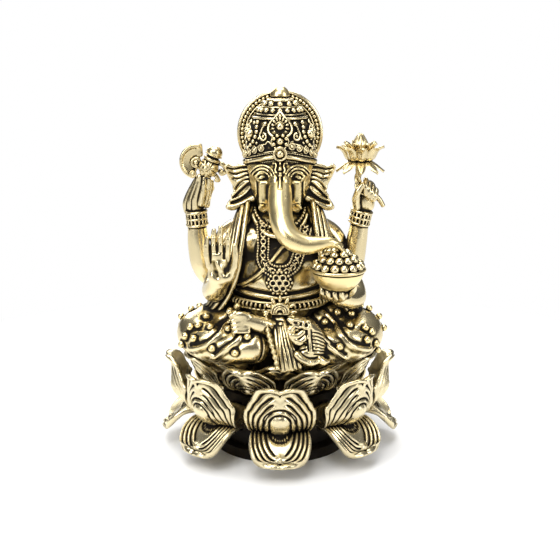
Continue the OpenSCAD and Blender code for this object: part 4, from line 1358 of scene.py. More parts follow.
def crown():
    s = Soup()
    lathe(s, at(0, CROWN_Y, 0), (0, 0, 1), [[0.02, 93.2], [14, 93.2]]
          + [[r - 0.3, z] for z, r in spline(CROWN_PROFILE, 5)]
          + [[0.02, 124]], 120)
    # headband with a line of tiny beads above and below
    turns = np.arange(0, 360, 4)
    height = {t: (94 + 4.2 * math.exp(-(min(t, 360 - t) / 52) ** 2)) for t in turns}
    tube(s, [round_crown(height[t], t, 0.2) for t in turns], 1.35, 14, looped=True, flat=0.8,
         up=(0.02, 0.01, 1))
    for dz, r in ((1.95, 0.34), (-1.75, 0.36)):
        string = np.array([round_crown(height[t] + dz, t, 0.35) for t in turns])
        beads(s, evenly(string, 0.95, closed=True), r, 2)
        tube(s, [round_crown(height[t] + dz * 1.38, t, 0.1) for t in turns], 0.25, 6, looped=True,
             up=(0.02, 0.01, 1))
    # festoon of ringed gems, swagged three times round the crown
    for t in np.arange(19, 342, 12.92):
        if t < 90 or t > 270:
            swag = 97.2 + 6.2 * abs(math.cos(math.radians(t))) ** 1.6
        else:
            swag = 97.2 + 3.4 * abs(math.sin(math.radians((t - 90) * 2)))
        p = round_crown(swag, t, 0.4)
        n = p - at(0, CROWN_Y, swag)
        ring_gem(s, p, n, 1.42, 0.34, 0.98, 0.9)
    # two bead rows and a bar near the top
    for z, count, r in ((121.6, 11, 1.35), (118.8, 19, 1.2)):
        beads(s, [round_crown(z, 360 * k / count, 0.5) for k in range(count)], r, 3)
    for z, r, off in ((120.2, 0.4, 0.1), (115.3, 0.62, 0.6), (123.2, 0.6, 0.3), (116.9, 0.3, 0.1)):
        tube(s, [round_crown(z, t, off) for t in np.arange(0, 360, 6)], r, 10, looped=True,
             up=(0.02, 0.01, 1))
    for sign in (-1, 1):
        hook = [[7.0, 112.7], [8.0, 111.4], [8.7, 109.6], [9.4, 107.8], [8.9, 106.2], [7.6, 105.8],
                [6.5, 106.8], [6.7, 108.3], [7.8, 108.9]]
        tube(s, [on_crown(sign * x, z, 0.7) for x, z in spline(hook, 5)], 0.5, 10)
        beads(s, [on_crown(sign * 6.9, 112.9, 0.8)], 1.15, 3)
        beads(s, [on_crown(sign * 7.8, 107.4, 0.5)], 0.7, 3)
        column = [[10.4, 113.4], [10.8, 111.3], [10.9, 109.1], [11.6, 106.9], [12.6, 104.7], [13.8, 102.9],
                  [15.0, 101.5]]
        beads(s, [on_crown(sign * x, z, 0.4) for x, z in column], 1.0, 3)
        beads(s, [on_crown(sign * (x + 1.9), z + 0.9, 0.2) for x, z in column[3:6]], 0.75, 2)
        beads(s, [on_crown(sign * (x - 1.7), z - 0.6, 0.2) for x, z in column[3:6]], 0.65, 2)
        beads(s, [on_crown(sign * 14.0, 108, 0.6)], 2.1, 3)
        tube(s, [on_crown(sign * 14.0, 108, 0.4)
                 + 2.3 * vec(0.75 * math.cos(a), -0.6 * sign * math.cos(a), math.sin(a))
                 for a in np.linspace(0, 2 * np.pi, 21)[:-1]],
             0.35, 8, looped=True, up=(sign * 0.6, -0.75, 0.05))
        sweep = [[3.4, 103.2], [5.6, 105.2], [6.6, 104.0], [9, 103.4], [11.6, 101.6]]
        tube(s, [on_crown(sign * x, z, 0.3) for x, z in spline(sweep, 5)], 0.32, 8)
    # sides and back carry a second tier of scrolls and beads
    for t in np.arange(70, 291, 20):
        p = round_crown(109, t, 0.5)
        out = unit(p - at(0, CROWN_Y, 109))
        side = vec(-out[1], out[0], 0)
        beads(s, [p], 1.5, 3)
        tube(s, [p + 2.2 * (math.cos(a) * side + math.sin(a) * vec(0, 0, 1.2)) - out * 0.3
                 for a in np.linspace(0, 2 * np.pi, 19)[:-1]], 0.4, 8, looped=True, up=out + vec(0, 0, 0.01))
        beads(s, [round_crown(113, t + 10, 0.3), round_crown(105.5, t + 10, 0.3)], 0.9, 2)
    casting("crown", s, M_ANTIQUE)


def crown_halo():
    s = Soup()
    disc = [[0.02, -1.0], [14.6, -1.0], [15.2, 0.2], [16.4, 0.9], [17.2, 0.3], [19.6, 0.3], [20.2, 0.9],
            [20.9, 0.5], [21.0, -0.6], [20.4, -1.6], [18.6, -2.0], [17.6, -1.7], [16.6, -2.3], [11, -3.1],
            [10, -2.7], [9, -3.3], [0.02, -3.8]]
    fine = []
    for a, b in zip(disc[:-1], disc[1:]):
        fine += [[a[0] + (b[0] - a[0]) * t, a[1] + (b[1] - a[1]) * t] for t in (0, 0.34, 0.67)]
    lathe(s, at(*HALO), (0, -1, 0), fine + [disc[-1]], 160)
    ring = np.linspace(0, 2 * np.pi, 57)[:-1]
    for r, size, level, y in ((18.4, 1.0, 3, 0.75), (15.5, 0.42, 2, 0.9)):
        beads(s, [at(*HALO) + vec(r * math.cos(a), -y, r * math.sin(a)) for a in ring], size, level)
    for r, w, y in ((16.7, 0.5, 1.0), (19.85, 0.32, 0.9), (17.1, 0.3, 0.8)):
        tube(s, [at(*HALO) + vec(r * math.cos(a), -y, r * math.sin(a))
                 for a in np.linspace(0, 2 * np.pi, 97)[:-1]],
             w, 8, looped=True)
    # each bead sits in its own outline
    for a in ring:
        m = at(*HALO) + vec(18.4 * math.cos(a + ring[1] / 2), -0.5, 18.4 * math.sin(a + ring[1] / 2))
        d = vec(math.cos(a + ring[1] / 2), 0, math.sin(a + ring[1] / 2))
        tube(s, [m - d * 1.1, m, m + d * 1.1], [0.2, 0.24, 0.2], 6)
    # the back has a low rosette
    for k in range(12):
        a = 2 * np.pi * k / 12
        d = vec(math.cos(a), 0, math.sin(a))
        lobe = [at(*HALO) + d * r + vec(0, y, 0) for r, y in ((2.6, 3.7), (4.4, 4.2), (6.4, 4.0), (8.2, 3.4))]
        tube(s, lobe, [0.6, 1.1, 1.3, 0.4], 10, flat=0.7)
    beads(s, [at(*HALO) + vec(0, 3.6, 0)], 2.2, 3, squash=((0, 1, 0), 0.7))
    casting("crown_halo", s, M_ANTIQUE)


def crown_finial():
    s = Soup()
    profile = [[0.02, 122.4], [5.0, 122.4], [5.5, 122.9], [5.5, 123.5], [4.9, 123.9], [4.4, 124.1],
               [4.6, 124.4], [4.7, 124.9], [4.4, 126.2], [3.6, 127.6], [2.4, 128.7], [1.2, 129.25],
               [0.02, 129.45]]
    lathe(s, SEAT_UP, (0, 0, 1), spline(profile, 5), 64)
    casting("crown_finial", s, M_POLISHED)


def crown_medallion():
    """Leaf-shaped jewel, the gems below it and the crescent over the lowest one."""
    s = Soup()
    half = [[0, 118.3], [2.2, 116.2], [4.4, 113.9], [5.5, 111.4], [5.0, 109.2], [3.3, 107.7]]
    edge = spline([[-x, z] for x, z in half[::-1]] + half[1:], 8)
    tube(s, [on_crown(x, z, 2.1) for x, z in edge], 0.55, 10)
    back = Clay(at(-8, -27, 102), at(8, -17, 121), 0.4)

    def face(x, z):
        r = np.interp(z - SEAT, [100, 104, 108, 112, 115, 118, 121],
                      [16.9, 16.5, 15.6, 14.2, 12.9, 11.4, 10.2])
        return CROWN_Y - np.sqrt(np.maximum(r * r - x * x, 1)) - 0.5
    back.add(leaf([[x, z + SEAT] for x, z in edge], face, 0.9), 0)
    back.mesh(s)
    c = on_crown(0, 112, 2.0)
    beads(s, [c], 1.75, 3, squash=((0, 1, 0), 0.8))
    tube(s, circle(c, 2.1, 24, 0.3), 0.3, 8, looped=True)
    for k in range(14):
        a = 2 * np.pi * (k + 0.5) / 14
        d = vec(math.cos(a), 0, math.sin(a) * 1.12)
        tube(s, [c + d * 2.55 + vec(0, 0.4, 0), c + d * 3.3 + vec(0, 0.1, 0), c + d * 4.0 + vec(0, 0.4, 0)],
             [0.35, 0.52, 0.5], 8)
    beads(s, [on_crown(0, 116.7, 2.2)], 0.8, 3)
    beads(s, [on_crown(x, 108.1, 1.9) for x in (-1.3, 1.3)], 0.85, 3)
    beads(s, [on_crown(0, 105.4, 1.6)], 1.55, 3)
    beads(s, [on_crown(x, z, 1.2) for x in (-2.9, 2.9) for z in (106.6, 104.0)], 0.95, 3)
    for x in (-3.6, 3.6):
        tube(s, [on_crown(x * w, z, 0.8) for w, z in ((1.0, 107.6), (1.12, 105.4), (1.0, 103.0))], 0.3, 8)
    low = on_crown(0, 99.6, 1.5)
    ring_gem(s, low, vec(0, -1, 0), 2.95, 0.5, 1.85, 0.8)
    tube(s, circle(low, 2.3, 24, -0.1), 0.2, 6, looped=True)
    horn = [[-2.7, 102.9], [-1.9, 102.1], [-0.9, 102.5], [0, 102.7], [0.9, 102.5], [1.9, 102.1], [2.7, 102.9]]
    tube(s, [on_crown(x, z, 1.5) for x, z in spline(horn, 5)],
         np.interp(np.linspace(-1, 1, 31), [-1, -0.6, 0, 0.6, 1], [0.15, 0.5, 0.75, 0.5, 0.15]), 10)
    casting("crown_medallion", s, M_ANTIQUE)


crown()
crown_halo()
crown_finial()
crown_medallion()


# ---------------------------------------------------------------- arms and hands
ARM_PATHS = {
    "axe": [[-17, 3, 60, 6.5], [-25, 4, 55, 6.6], [-31, 4, 44, 6.2], [-34.5, 3, 36, 5.8],
            [-38.6, 1.5, 42, 5.9], [-40.4, 1, 52, 5.4], [-41.0, 1, 60, 4.7], [-41.4, 1, 67, 4.2]],
    "lotus": [[17, 3, 60, 6.5], [25, 4, 55, 6.6], [31, 4, 44, 6.2], [33.5, 3, 36, 5.8], [36.4, 1.5, 43, 5.6],
              [38, 1, 53, 5.2], [39.2, 1, 61, 4.6], [40.3, 1, 68, 4.2]],
    "blessing": [[-17, -5, 56, 6.5], [-25, -10, 48, 6.3], [-30, -13, 38, 6.0], [-32, -20, 33.5, 5.6],
                 [-30.5, -28, 36, 5.2], [-28.6, -33, 41, 4.8]],
    "bowl": [[17, -5, 56, 6.5], [26, -9, 47, 6.3], [33.5, -12, 37, 6.0], [36.5, -18, 30.5, 5.4],
             [34, -26, 30.5, 4.8], [28.5, -32, 33, 4.4]]}


def limb(clay, name):
    clay.add(strand(ARM_PATHS[name], 5), 2.0)


def finger(clay, points, k=0.35):
    """A finger through points [x, y, height, radius], a little thicker at its two joints."""
    p = spline(raise_path(points), 6)
    u = np.linspace(0, 1, len(p))
    p[:, 3] *= 0.94 + 0.09 * (np.exp(-((u - 0.36) / 0.08) ** 2) + np.exp(-((u - 0.7) / 0.08) ** 2))
    clay.add(rope(p), k)


def armlet(clay, name, sign):
    """Cloth creases on the upper arm."""
    p = raise_path(ARM_PATHS[name])
    c = spline(p, 6)
    for i in (9, 11, 13):
        ring = [c[i, :3] + (c[i, 3] - 0.1) * (math.cos(a) * vec(sign * 0.7, 0.1, 0.65)
                                              + math.sin(a) * vec(0, -1, 0))
                for a in np.radians(np.arange(-60, 61, 15))]
        clay.press(ring, 0.9, 0.35)


def axe_arm():
    clay = Clay([-52, -12, SEAT + 26], [-10, 13, SEAT + 90], ARM_VOXEL)
    limb(clay, "axe")
    armlet(clay, "axe", -1)
    clay.add(strand([[-41.4, 0.5, 67, 4.3], [-41.6, -0.4, 72, 4.2], [-40.6, -1.4, 77, 3.5],
                     [-39.4, -2.6, 82, 2.5], [-38.8, -3.4, 86, 1.6]], 4, flat=((0.2, 1, 0), 0.8)), 1.0)
    clay.add(strand([[-45.6, 1.8, 68.5, 2.0], [-46.2, 1.8, 72, 1.9], [-44.8, 1.2, 76.6, 1.6],
                     [-42.2, 0, 82, 1.3], [-40.6, -1, 85, 1.0]], 4), 0.5)
    finger(clay, [[-38.6, -3.2, 73, 1.9], [-37.6, -4.4, 78, 1.7], [-37.0, -4.8, 82, 1.5],
                  [-36.7, -4.8, 85.6, 1.2]])
    finger(clay, [[-36.8, -1.6, 72.4, 1.9], [-35.6, -2.8, 77, 1.6], [-34.8, -4.0, 81, 1.4],
                  [-34.4, -4.6, 84.8, 1.15]])
    finger(clay, [[-36.2, 1.4, 71.4, 1.9], [-35.4, 1.2, 75.4, 1.6], [-33.9, 0.2, 79.4, 1.5],
                  [-33.4, -1.8, 83.2, 1.3]])
    for x in (-35.6, -33.6):
        clay.add(ball(at(x, 0.4, 74.8 + 2.6 * (x + 35.6)), 1.5), 0.5)
    for line in ([[-43.6, -3.4, 70], [-43.4, -3.4, 75], [-41.6, -4, 80], [-40.4, -4.4, 84]],
                 [[-40.2, -5, 72.4], [-39.6, -5.2, 77], [-38.4, -5.4, 82], [-37.9, -5.2, 85.6]]):
        clay.press(raise_path(line), np.array([0.6]), 0.9, 0.3)
    casting("axe_arm", clay.mesh(Soup()), M_ANTIQUE)


def lotus_arm():
    clay = Clay([10, -13, SEAT + 26], [53, 13, SEAT + 90], ARM_VOXEL)
    limb(clay, "lotus")
    armlet(clay, "lotus", 1)
    clay.add(egg(at(40.6, 0.4, 73.6), [5.0, 4.2, 6.0]), 1.2)
    clay.add(egg(at(44.0, 0.6, 72.0), [2.6, 3.0, 3.6]), 0.8)
    clay.add(egg(at(42.8, 0.6, 80.0), [4.2, 3.4, 4.0]), 1.0)
    finger(clay, [[37.6, -2.6, 70.8, 2.1], [37.0, -4.4, 75, 2.0], [37.9, -5.6, 79, 1.75],
                  [40.0, -5.9, 82.4, 1.35]])
    for k in range(4):
        finger(clay, [[42.0 + 1.35 * k, 1.6, 83.6 - 1.3 * k, 1.25],
                      [41.8 + 1.7 * k, -2.6, 84.2 - 1.7 * k, 1.3],
                      [41.6 + 1.65 * k, -5.2, 81.4 - 1.5 * k, 1.25],
                      [41.4 + 1.4 * k, -5.4, 77.6 - 0.9 * k, 1.15]], 0.12)
    clay.press(raise_path([[41.6, -4.6, 74.6], [42.0, -4.4, 71.6], [41.8, -4.0, 68.6]]), np.array([0.7]), 0.9)
    clay.press(raise_path([[39.2, -5.2, 78.4], [40.2, -5.6, 76], [40.6, -5.2, 73]]), np.array([0.8]), 1.0)
    clay.press(raise_path([[35.6, -1.4, 79], [35.8, -1.6, 74], [36, -1.6, 69.6]]), np.array([0.7]), 0.8)
    casting("lotus_arm", clay.mesh(Soup()), M_ANTIQUE)


def blessing_arm():
    """The open palm faces the viewer."""
    clay = Clay([-41, -44, SEAT + 24], [-9, 6, SEAT + 71], 0.3)
    limb(clay, "blessing")
    clay.add(rope(raise_path([[-27.4, -34, 44, 5.6], [-28.2, -35.6, 49, 5.6], [-28.8, -36.2, 54, 4.9]]),
                  flat=((0, 1, 0), 0.62)), 1.4)
    clay.add(egg(at(-27.0, -35.4, 44.2), [6.6, 4.4, 4.6]), 1.0)
    # little, ring, middle and index finger, from the outer edge inwards
    for pts in ([[-32.8, -36.4, 49, 1.6], [-33.7, -37.0, 54, 1.55], [-33.9, -37.4, 58.4, 1.4],
                 [-33.2, -37.6, 62.4, 1.15]],
                [[-30.2, -36.6, 51, 1.6], [-30.7, -37.4, 57, 1.55], [-30.8, -37.9, 62, 1.45],
                 [-30.3, -38.0, 66.0, 1.2]],
                [[-27.2, -36.6, 51, 1.6], [-27.4, -37.4, 57.4, 1.55], [-27.5, -37.9, 63, 1.45],
                 [-27.3, -38.0, 67.4, 1.2]],
                [[-24.4, -36.4, 51, 1.6], [-24.1, -37.2, 57, 1.5], [-23.9, -37.6, 61.4, 1.4],
                 [-24.1, -37.7, 65.0, 1.15]]):
        finger(clay, pts, 0.1)
    finger(clay, [[-23.4, -36.0, 43.4, 2.3], [-21.6, -37.2, 48.6, 2.1], [-20.6, -38.0, 54, 1.7],
                  [-20.8, -38.4, 59.0, 1.3]], 0.5)
    for x0, x1, z0, z1 in ((-32.1, -32.1, 51, 64), (-29.0, -28.9, 53, 67), (-25.9, -25.7, 53, 66)):
        clay.press([at(x0, -38.2, z0), at((x0 + x1) / 2, -38.4, (z0 + z1) / 2), at(x1, -38.4, z1)], 0.5, 1.1)
    # creases over the finger joints
    for k, x in enumerate((-33.3, -30.5, -27.5, -24.5)):
        for z in (54.6, 58.8, 62.4)[: (2 if k in (0,) else 3)]:
            dz = (0, 1.2, 1.4, 0.6)[k]
            clay.press([at(x - 1.1, -38.9, z + dz), at(x, -39.3, z + dz - 0.2), at(x + 1.1, -38.9, z + dz)],
                       0.36, 0.7)
    # dished palm on each side of a middle ridge
    clay.press([at(-31.2, -39.2, 51), at(-30.8, -39.4, 47.6), at(-29.2, -39.4, 44.8)], 1.5, 1.5)
    clay.press([at(-23.8, -39.4, 53.6), at(-23.8, -39.6, 49.6), at(-25.4, -39.6, 46.0)], 1.4, 1.6)
    clay.press([at(-28.8, -39.6, 50.6), at(-27.4, -39.8, 48.4), at(-26.6, -39.6, 46)], 1.3, -0.8)
    clay.press([at(-27.2, -39.8, 46.6), at(-27.2, -40.2, 43.6), at(-27.2, -39.6, 41.0)], 0.5, 1.0)
    casting("blessing_arm", clay.mesh(Soup()), M_ANTIQUE)


def bowl_arm():
    clay = Clay([9, -49, SEAT + 22], [43, 6, SEAT + 66], ARM_VOXEL)
    limb(clay, "bowl")
    clay.add(egg(at(25.8, -35, 35.4), [6.4, 6.6, 3.4]), 1.2)
    for k, (x, y) in enumerate(((19.9, -37.4), (22.5, -40.2), (25.3, -41.4), (28.2, -41.4))):
        finger(clay, [[25.4 + 0.6 * k, -35.5, 33.8, 1.7], [x + 0.5, y + 2.2, 34.2, 1.65],
                      [x, y - 0.2, 36.6, 1.5], [x - 0.2, y + 0.2, 39.6, 1.3]], 0.15)
    finger(clay, [[31.5, -33.5, 34.6, 1.9], [33.8, -36.5, 37, 1.7], [34.6, -38.6, 40.2, 1.35]], 0.4)
    for x, y in ((21.2, -39.8), (23.9, -41.8), (26.8, -42.4)):
        clay.press([at(x, y, 34), at(x, y - 0.4, 36.6), at(x, y, 39)], 0.4, 0.8)
    casting("bowl_arm", clay.mesh(Soup()), M_ANTIQUE)


def bracelet(name, low, high, radius):
    """Three rings joined by short bars, which leave two rows of square holes."""
    s = Soup()
    low, high = at(*low), at(*high)
    n = unit(high - low)
    u = unit(np.cross(n, vec(0.1, 1, 0.05)))
    w = np.cross(n, u)
    height = np.linalg.norm(high - low)
    lathe(s, low, n, [[radius - 1.6, 0.2], [radius - 0.75, 0.2], [radius - 0.75, height - 0.2],
                      [radius - 1.6, height - 0.2], [radius - 1.6, 0.2]], 40)

    def ring(h, r):
        return [low + n * h + r * (math.cos(a) * u + math.sin(a) * w)
                for a in np.linspace(0, 2 * np.pi, 41)[:-1]]
    for h, wide in ((0.4, 0.75), (height / 2, 0.6), (height - 0.4, 0.8)):
        tube(s, ring(h, radius), wide, 10, looped=True, up=n + vec(0.01, 0, 0))
    for k in range(16):
        a = 2 * np.pi * k / 16
        d = math.cos(a) * u + math.sin(a) * w
        tube(s, [low + n * h + d * radius for h in (0.4, height / 2, height - 0.4)], 0.5, 8, up=d)
    piece(f"{name}_cast", s, [name], M_ANTIQUE)


axe_arm()
lotus_arm()
blessing_arm()
bowl_arm()
bracelet("axe_arm_bracelet", (-40.9, 1, 61.4), (-41.4, 0.6, 68.6), 4.9)
bracelet("lotus_arm_bracelet", (39.0, 1, 62.4), (40.5, 0.4, 69.0), 4.9)


# ---------------------------------------------------------------- things held
def axe():
    s = Soup()
    ring_c = vec(-40.6, -1.2, 92.9)
    clay = Clay([-51, -6, SEAT + 82], [-36, 3, SEAT + 104], FINE_VOXEL)
    arc = [[-40.2 + 8.6 * math.cos(a), 93.2 + 8.5 * math.sin(a)] for a in np.radians(np.arange(82, 262, 9))]
    outline = [[-38.9, 101.7]] + arc + [[-40.6, 88.6], [-38.4, 92], [-38.9, 96.4]]
    clay.add(leaf([[x, z + SEAT] for x, z in outline], lambda x, z: -1.2, 1.0), 0)
    rim = on_skin(clay, [[-40.2 + 7.7 * math.cos(a), SEAT + 93.2 + 7.6 * math.sin(a)]
                         for a in np.radians(np.arange(84, 262, 8))])
    clay.press(rim, 0.95, -0.75)
    clay.press(rim + vec(0, 2, 0), 0.95, -0.75)
    for a in np.radians(np.arange(92, 262, 9.5)):
        line = [[ring_c[0] + r * math.cos(a), SEAT + ring_c[2] + r * math.sin(a)]
                for r in (2.9, 4.2, 5.6, 6.5)]
        for shift in (0, 2):
            clay.press(on_skin(clay, line) + vec(0, shift, 0), 0.46, 1.05)
    clay.add(rope(raise_path([[-38.6, -1.2, 101, 0.9], [-38.4, -1.2, 96.5, 1.1]])), 0.4)
    clay.add(strand([[-36, -3.6, 89, 1.5], [-38.4, -2, 85, 1.5]], 3), 0.4)
    clay.mesh(s)

    def hoop(c, r, w):
        tube(s, [at(*c) + vec(r * math.cos(a), 0, r * math.sin(a))
                 for a in np.linspace(0, 2 * np.pi, 25)[:-1]], w, 10, looped=True)
    hoop((-40.7, -3.0, 92.9), 2.0, 0.75)
    hoop((-40.5, -3.0, 92.9), 0.9, 0.4)
    beads(s, [at(-40.6, -2.2, 92.9)], 1.7, 3)
    hoop((-42.3, -3.0, 87.2), 1.35, 0.55)
    beads(s, [at(-42.3, -2.6, 87.2)], 1.35, 3)
    # lattice ball
    c = at(-34.6, -4.4, 90.5)
    orb = Clay(c - 6.4, c + 6.4, 0.26)
    orb.add(ball(c, 5.0), 0)
    for turn in (40, -50):
        m = rot((0, 1, 0), turn)
        for off in (-2.6, 0.6):
            r = math.sqrt(25 - off * off)
            loop = [c + m @ vec(off, r * math.cos(a), r * math.sin(a)) for a in np.linspace(0, 2 * np.pi, 41)]
            orb.press(loop, 0.4, 0.9)
    orb.mesh(s)
    lean = unit(vec(0.42, -0.05, 1))
    base = c + lean * 4.2
    lathe(s, base, lean, spline([[0.02, -0.6], [3.2, -0.6], [4.0, 0.1], [4.0, 0.8], [3.3, 1.3], [2.9, 1.7],
                                 [3.2, 2.2], [3.8, 3.0], [3.9, 4.2], [3.3, 5.6], [2.0, 6.7], [0.9, 7.1],
                                 [0.02, 7.2]], 4), 48)
    tube(s, [base + lean * 2.7 + 3.95 * (math.cos(a) * unit(np.cross(lean, [0, 1, 0]))
                                         + math.sin(a) * vec(0, 1, 0.05))
             for a in np.linspace(0, 2 * np.pi, 31)[:-1]], 0.35, 8, looped=True, up=lean)
    # scrolls on the far side of the ball
    curl = [[-30.2, -4, 92.6, 1.1], [-28.0, -4, 92.2, 1.1], [-26.6, -4, 90.4, 1.05], [-26.6, -4, 88.4, 1.0],
            [-28.2, -4, 87.4, 0.9], [-29.2, -4, 88.6, 0.8], [-28.2, -4, 89.8, 0.7]]
    p = spline(raise_path(curl), 6)
    tube(s, p[:, :3], p[:, 3], 12)
    curl = [[-31.4, -4, 87.0, 1.0], [-30.2, -4, 85.2, 1.0], [-30.6, -4, 84.2, 0.9], [-31.6, -4, 84.6, 0.7]]
    p = spline(raise_path(curl), 6)
    tube(s, p[:, :3], p[:, 3], 12)
    beads(s, [at(-30.0, -3.6, 84.4), at(-28.2, -4.6, 88.7)], [1.15, 0.9], 3)
    # shaft down into the hand
    tube(s, spline([at(-37.4, -3.2, 88), at(-38.8, -2, 82), at(-40.6, -0.6, 74), at(-41.2, 0.4, 66)], 5),
         1.3, 14)
    casting("axe", s, M_SHADE)


def blossom_petal(s, centre, angle, line, half_w, cup):
    """A pointed petal: line gives [radius, height] from the root to the tip."""
    c = spline(line, 5)
    m, n = len(c), 11
    b = np.linspace(0, 1, m)
    w = half_w * np.sin(np.pi * np.clip(b * 0.86 + 0.12, 0, 1)) ** 0.8
    w[-1] = 0.05
    d = np.gradient(c, axis=0)
    d /= np.linalg.norm(d, axis=1)[:, None]
    nrm = np.stack([-d[:, 1], d[:, 0]], 1)
    v = np.linspace(-1, 1, n)
    ca, sa = math.cos(angle), math.sin(angle)
    crease = 0.28 * np.exp(-(v / 0.2) ** 2)[None, :]
    fat = 0.55 * np.sqrt(1 - 0.97 * v ** 2)[None, :]

    def place(off):
        r = c[:, 0][:, None] + nrm[:, 0][:, None] * off
        z = c[:, 1][:, None] + nrm[:, 1][:, None] * off
        x = w[:, None] * v[None, :]
        return np.stack([centre[0] + x * ca + r * sa, centre[1] + x * sa - r * ca, centre[2] + z], -1)
    lift = cup * (w / half_w)[:, None] * v[None, :] ** 2
    grid = np.concatenate([place(lift - fat - crease), place(lift + fat - crease)[:, ::-1]], 1)
    start = s.count
    s.add_grid(grid, loop_v=True)
    k = np.arange(n - 1)
    quad = np.stack([k, k + 1, 2 * n - 2 - k, 2 * n - 1 - k], -1)
    s.faces += [quad[:, ::-1] + start, quad + (m - 1) * 2 * n + start]


def lotus_flower():
    s = Soup()
    c = at(39, -1.4, 94.6)
    for k in range(8):
        a = 2 * np.pi * (k + 0.06) / 8
        blossom_petal(s, c, a, [[1.5, -0.6], [4.2, -0.9], [6.6, 0.6], [7.9, 3.2], [9.4, 5.0], [11.6, 5.9]],
                      3.3, 1.3)
        a = 2 * np.pi * (k + 0.5) / 8
        blossom_petal(s, c, a, [[1.2, 0.2], [3.6, 1.6], [5.4, 4.0], [6.6, 6.4], [8.2, 8.0]], 2.7, 1.2)
        blossom_petal(s, c, a + 0.36, [[1.6, -0.6], [4.4, -1.0], [7.4, -2.6], [9.8, -4.6], [11.8, -6.2]],
                      2.5, -0.7)
    for k in range(6):
        a = 2 * np.pi * k / 6
        blossom_petal(s, c, a, [[1.0, 0.4], [2.9, 3.0], [3.4, 6.2], [2.4, 9.2], [0.3, 12.0]], 2.9, 1.0)
    for k in range(12):
        a = 2 * np.pi * k / 12
        tube(s, [c + vec(r * math.sin(a), -r * math.cos(a), z)
                 for r, z in ((2.2, 0.5), (3.6, 2.8), (4.2, 4.6))],
             [0.35, 0.3, 0.4], 6)
    lathe(s, c, (0, 0, 1), spline([[0.02, -3.4], [1.3, -3.2], [2.6, -1.8], [3.2, -0.6], [2.8, 0.6],
                                   [0.02, 1.2]], 4), 32)
    # twisted stem down into the fist and its tail below the fingers
    stem = spline([at(38.9, -1.6, 92.4), at(38.2, -2.6, 88), at(37.9, -3.2, 84), at(38.4, -2.8, 80),
                   at(40.6, -1.6, 77)], 10)
    u = np.linspace(0, 1, len(stem))
    for k in range(3):
        a = 2 * np.pi * k / 3 + 7.5 * u
        tube(s, stem + 0.95 * (np.cos(a)[:, None] * vec(1, 0, 0) + np.sin(a)[:, None] * vec(0, 1, 0)), 0.85,
             8)
    tail = spline(raise_path([[43.6, -2.6, 79, 1.4], [46.2, -3, 77, 1.4], [48.8, -3, 74.4, 1.25],
                              [50.6, -3, 71.4, 1.05]]), 6)
    tube(s, tail[:, :3], tail[:, 3], 14)
    casting("lotus_flower", s, M_SHADE)


BOWL = vec(27, -37, 37.2)


def bowl():
    s = Soup()
    profile = [[0.02, 0], [3.2, 0], [5.4, 0.8], [8.4, 2.9], [10.6, 5.6], [11.9, 8.4], [12.1, 9.0],
               [11.95, 9.3], [12.3, 9.6], [12.9, 10.0], [13.0, 10.6], [12.7, 11.1], [12.1, 11.0],
               [11.5, 10.2], [10.0, 8.2], [6, 5.6], [0.02, 5.0]]
    lathe(s, at(*BOWL), (0, 0, 1), spline(profile, 5), 112)
    casting("bowl", s, M_POLISHED)


def sweets():
    s = Soup()
    c = at(*BOWL) + vec(0, 0, 10.2)
    for r, z, n, size, shift in ((10.4, 2.0, 15, 2.1, 0.5), (7.4, 5.0, 11, 2.1, 0.0),
                                 (4.3, 7.6, 6, 2.0, 0.5)):
        for k in range(n):
            a = 2 * np.pi * (k + shift) / n
            j = rng.uniform(-0.18, 0.18, 3)
            beads(s, [c + vec(r * math.sin(a), -r * math.cos(a), z) + j], size * rng.uniform(0.96, 1.05), 3)
    beads(s, [c + vec(0.4, -0.4, 9.4)], 1.9, 3)
    clay = Clay(c - vec(12, 12, 3), c + vec(12, 12, 10), 0.6)
    clay.add(egg(c + vec(0, 0, -0.6), [10.6, 10.6, 8.2]), 0)
    clay.mesh(s)
    casting("sweets", s, M_ANTIQUE)


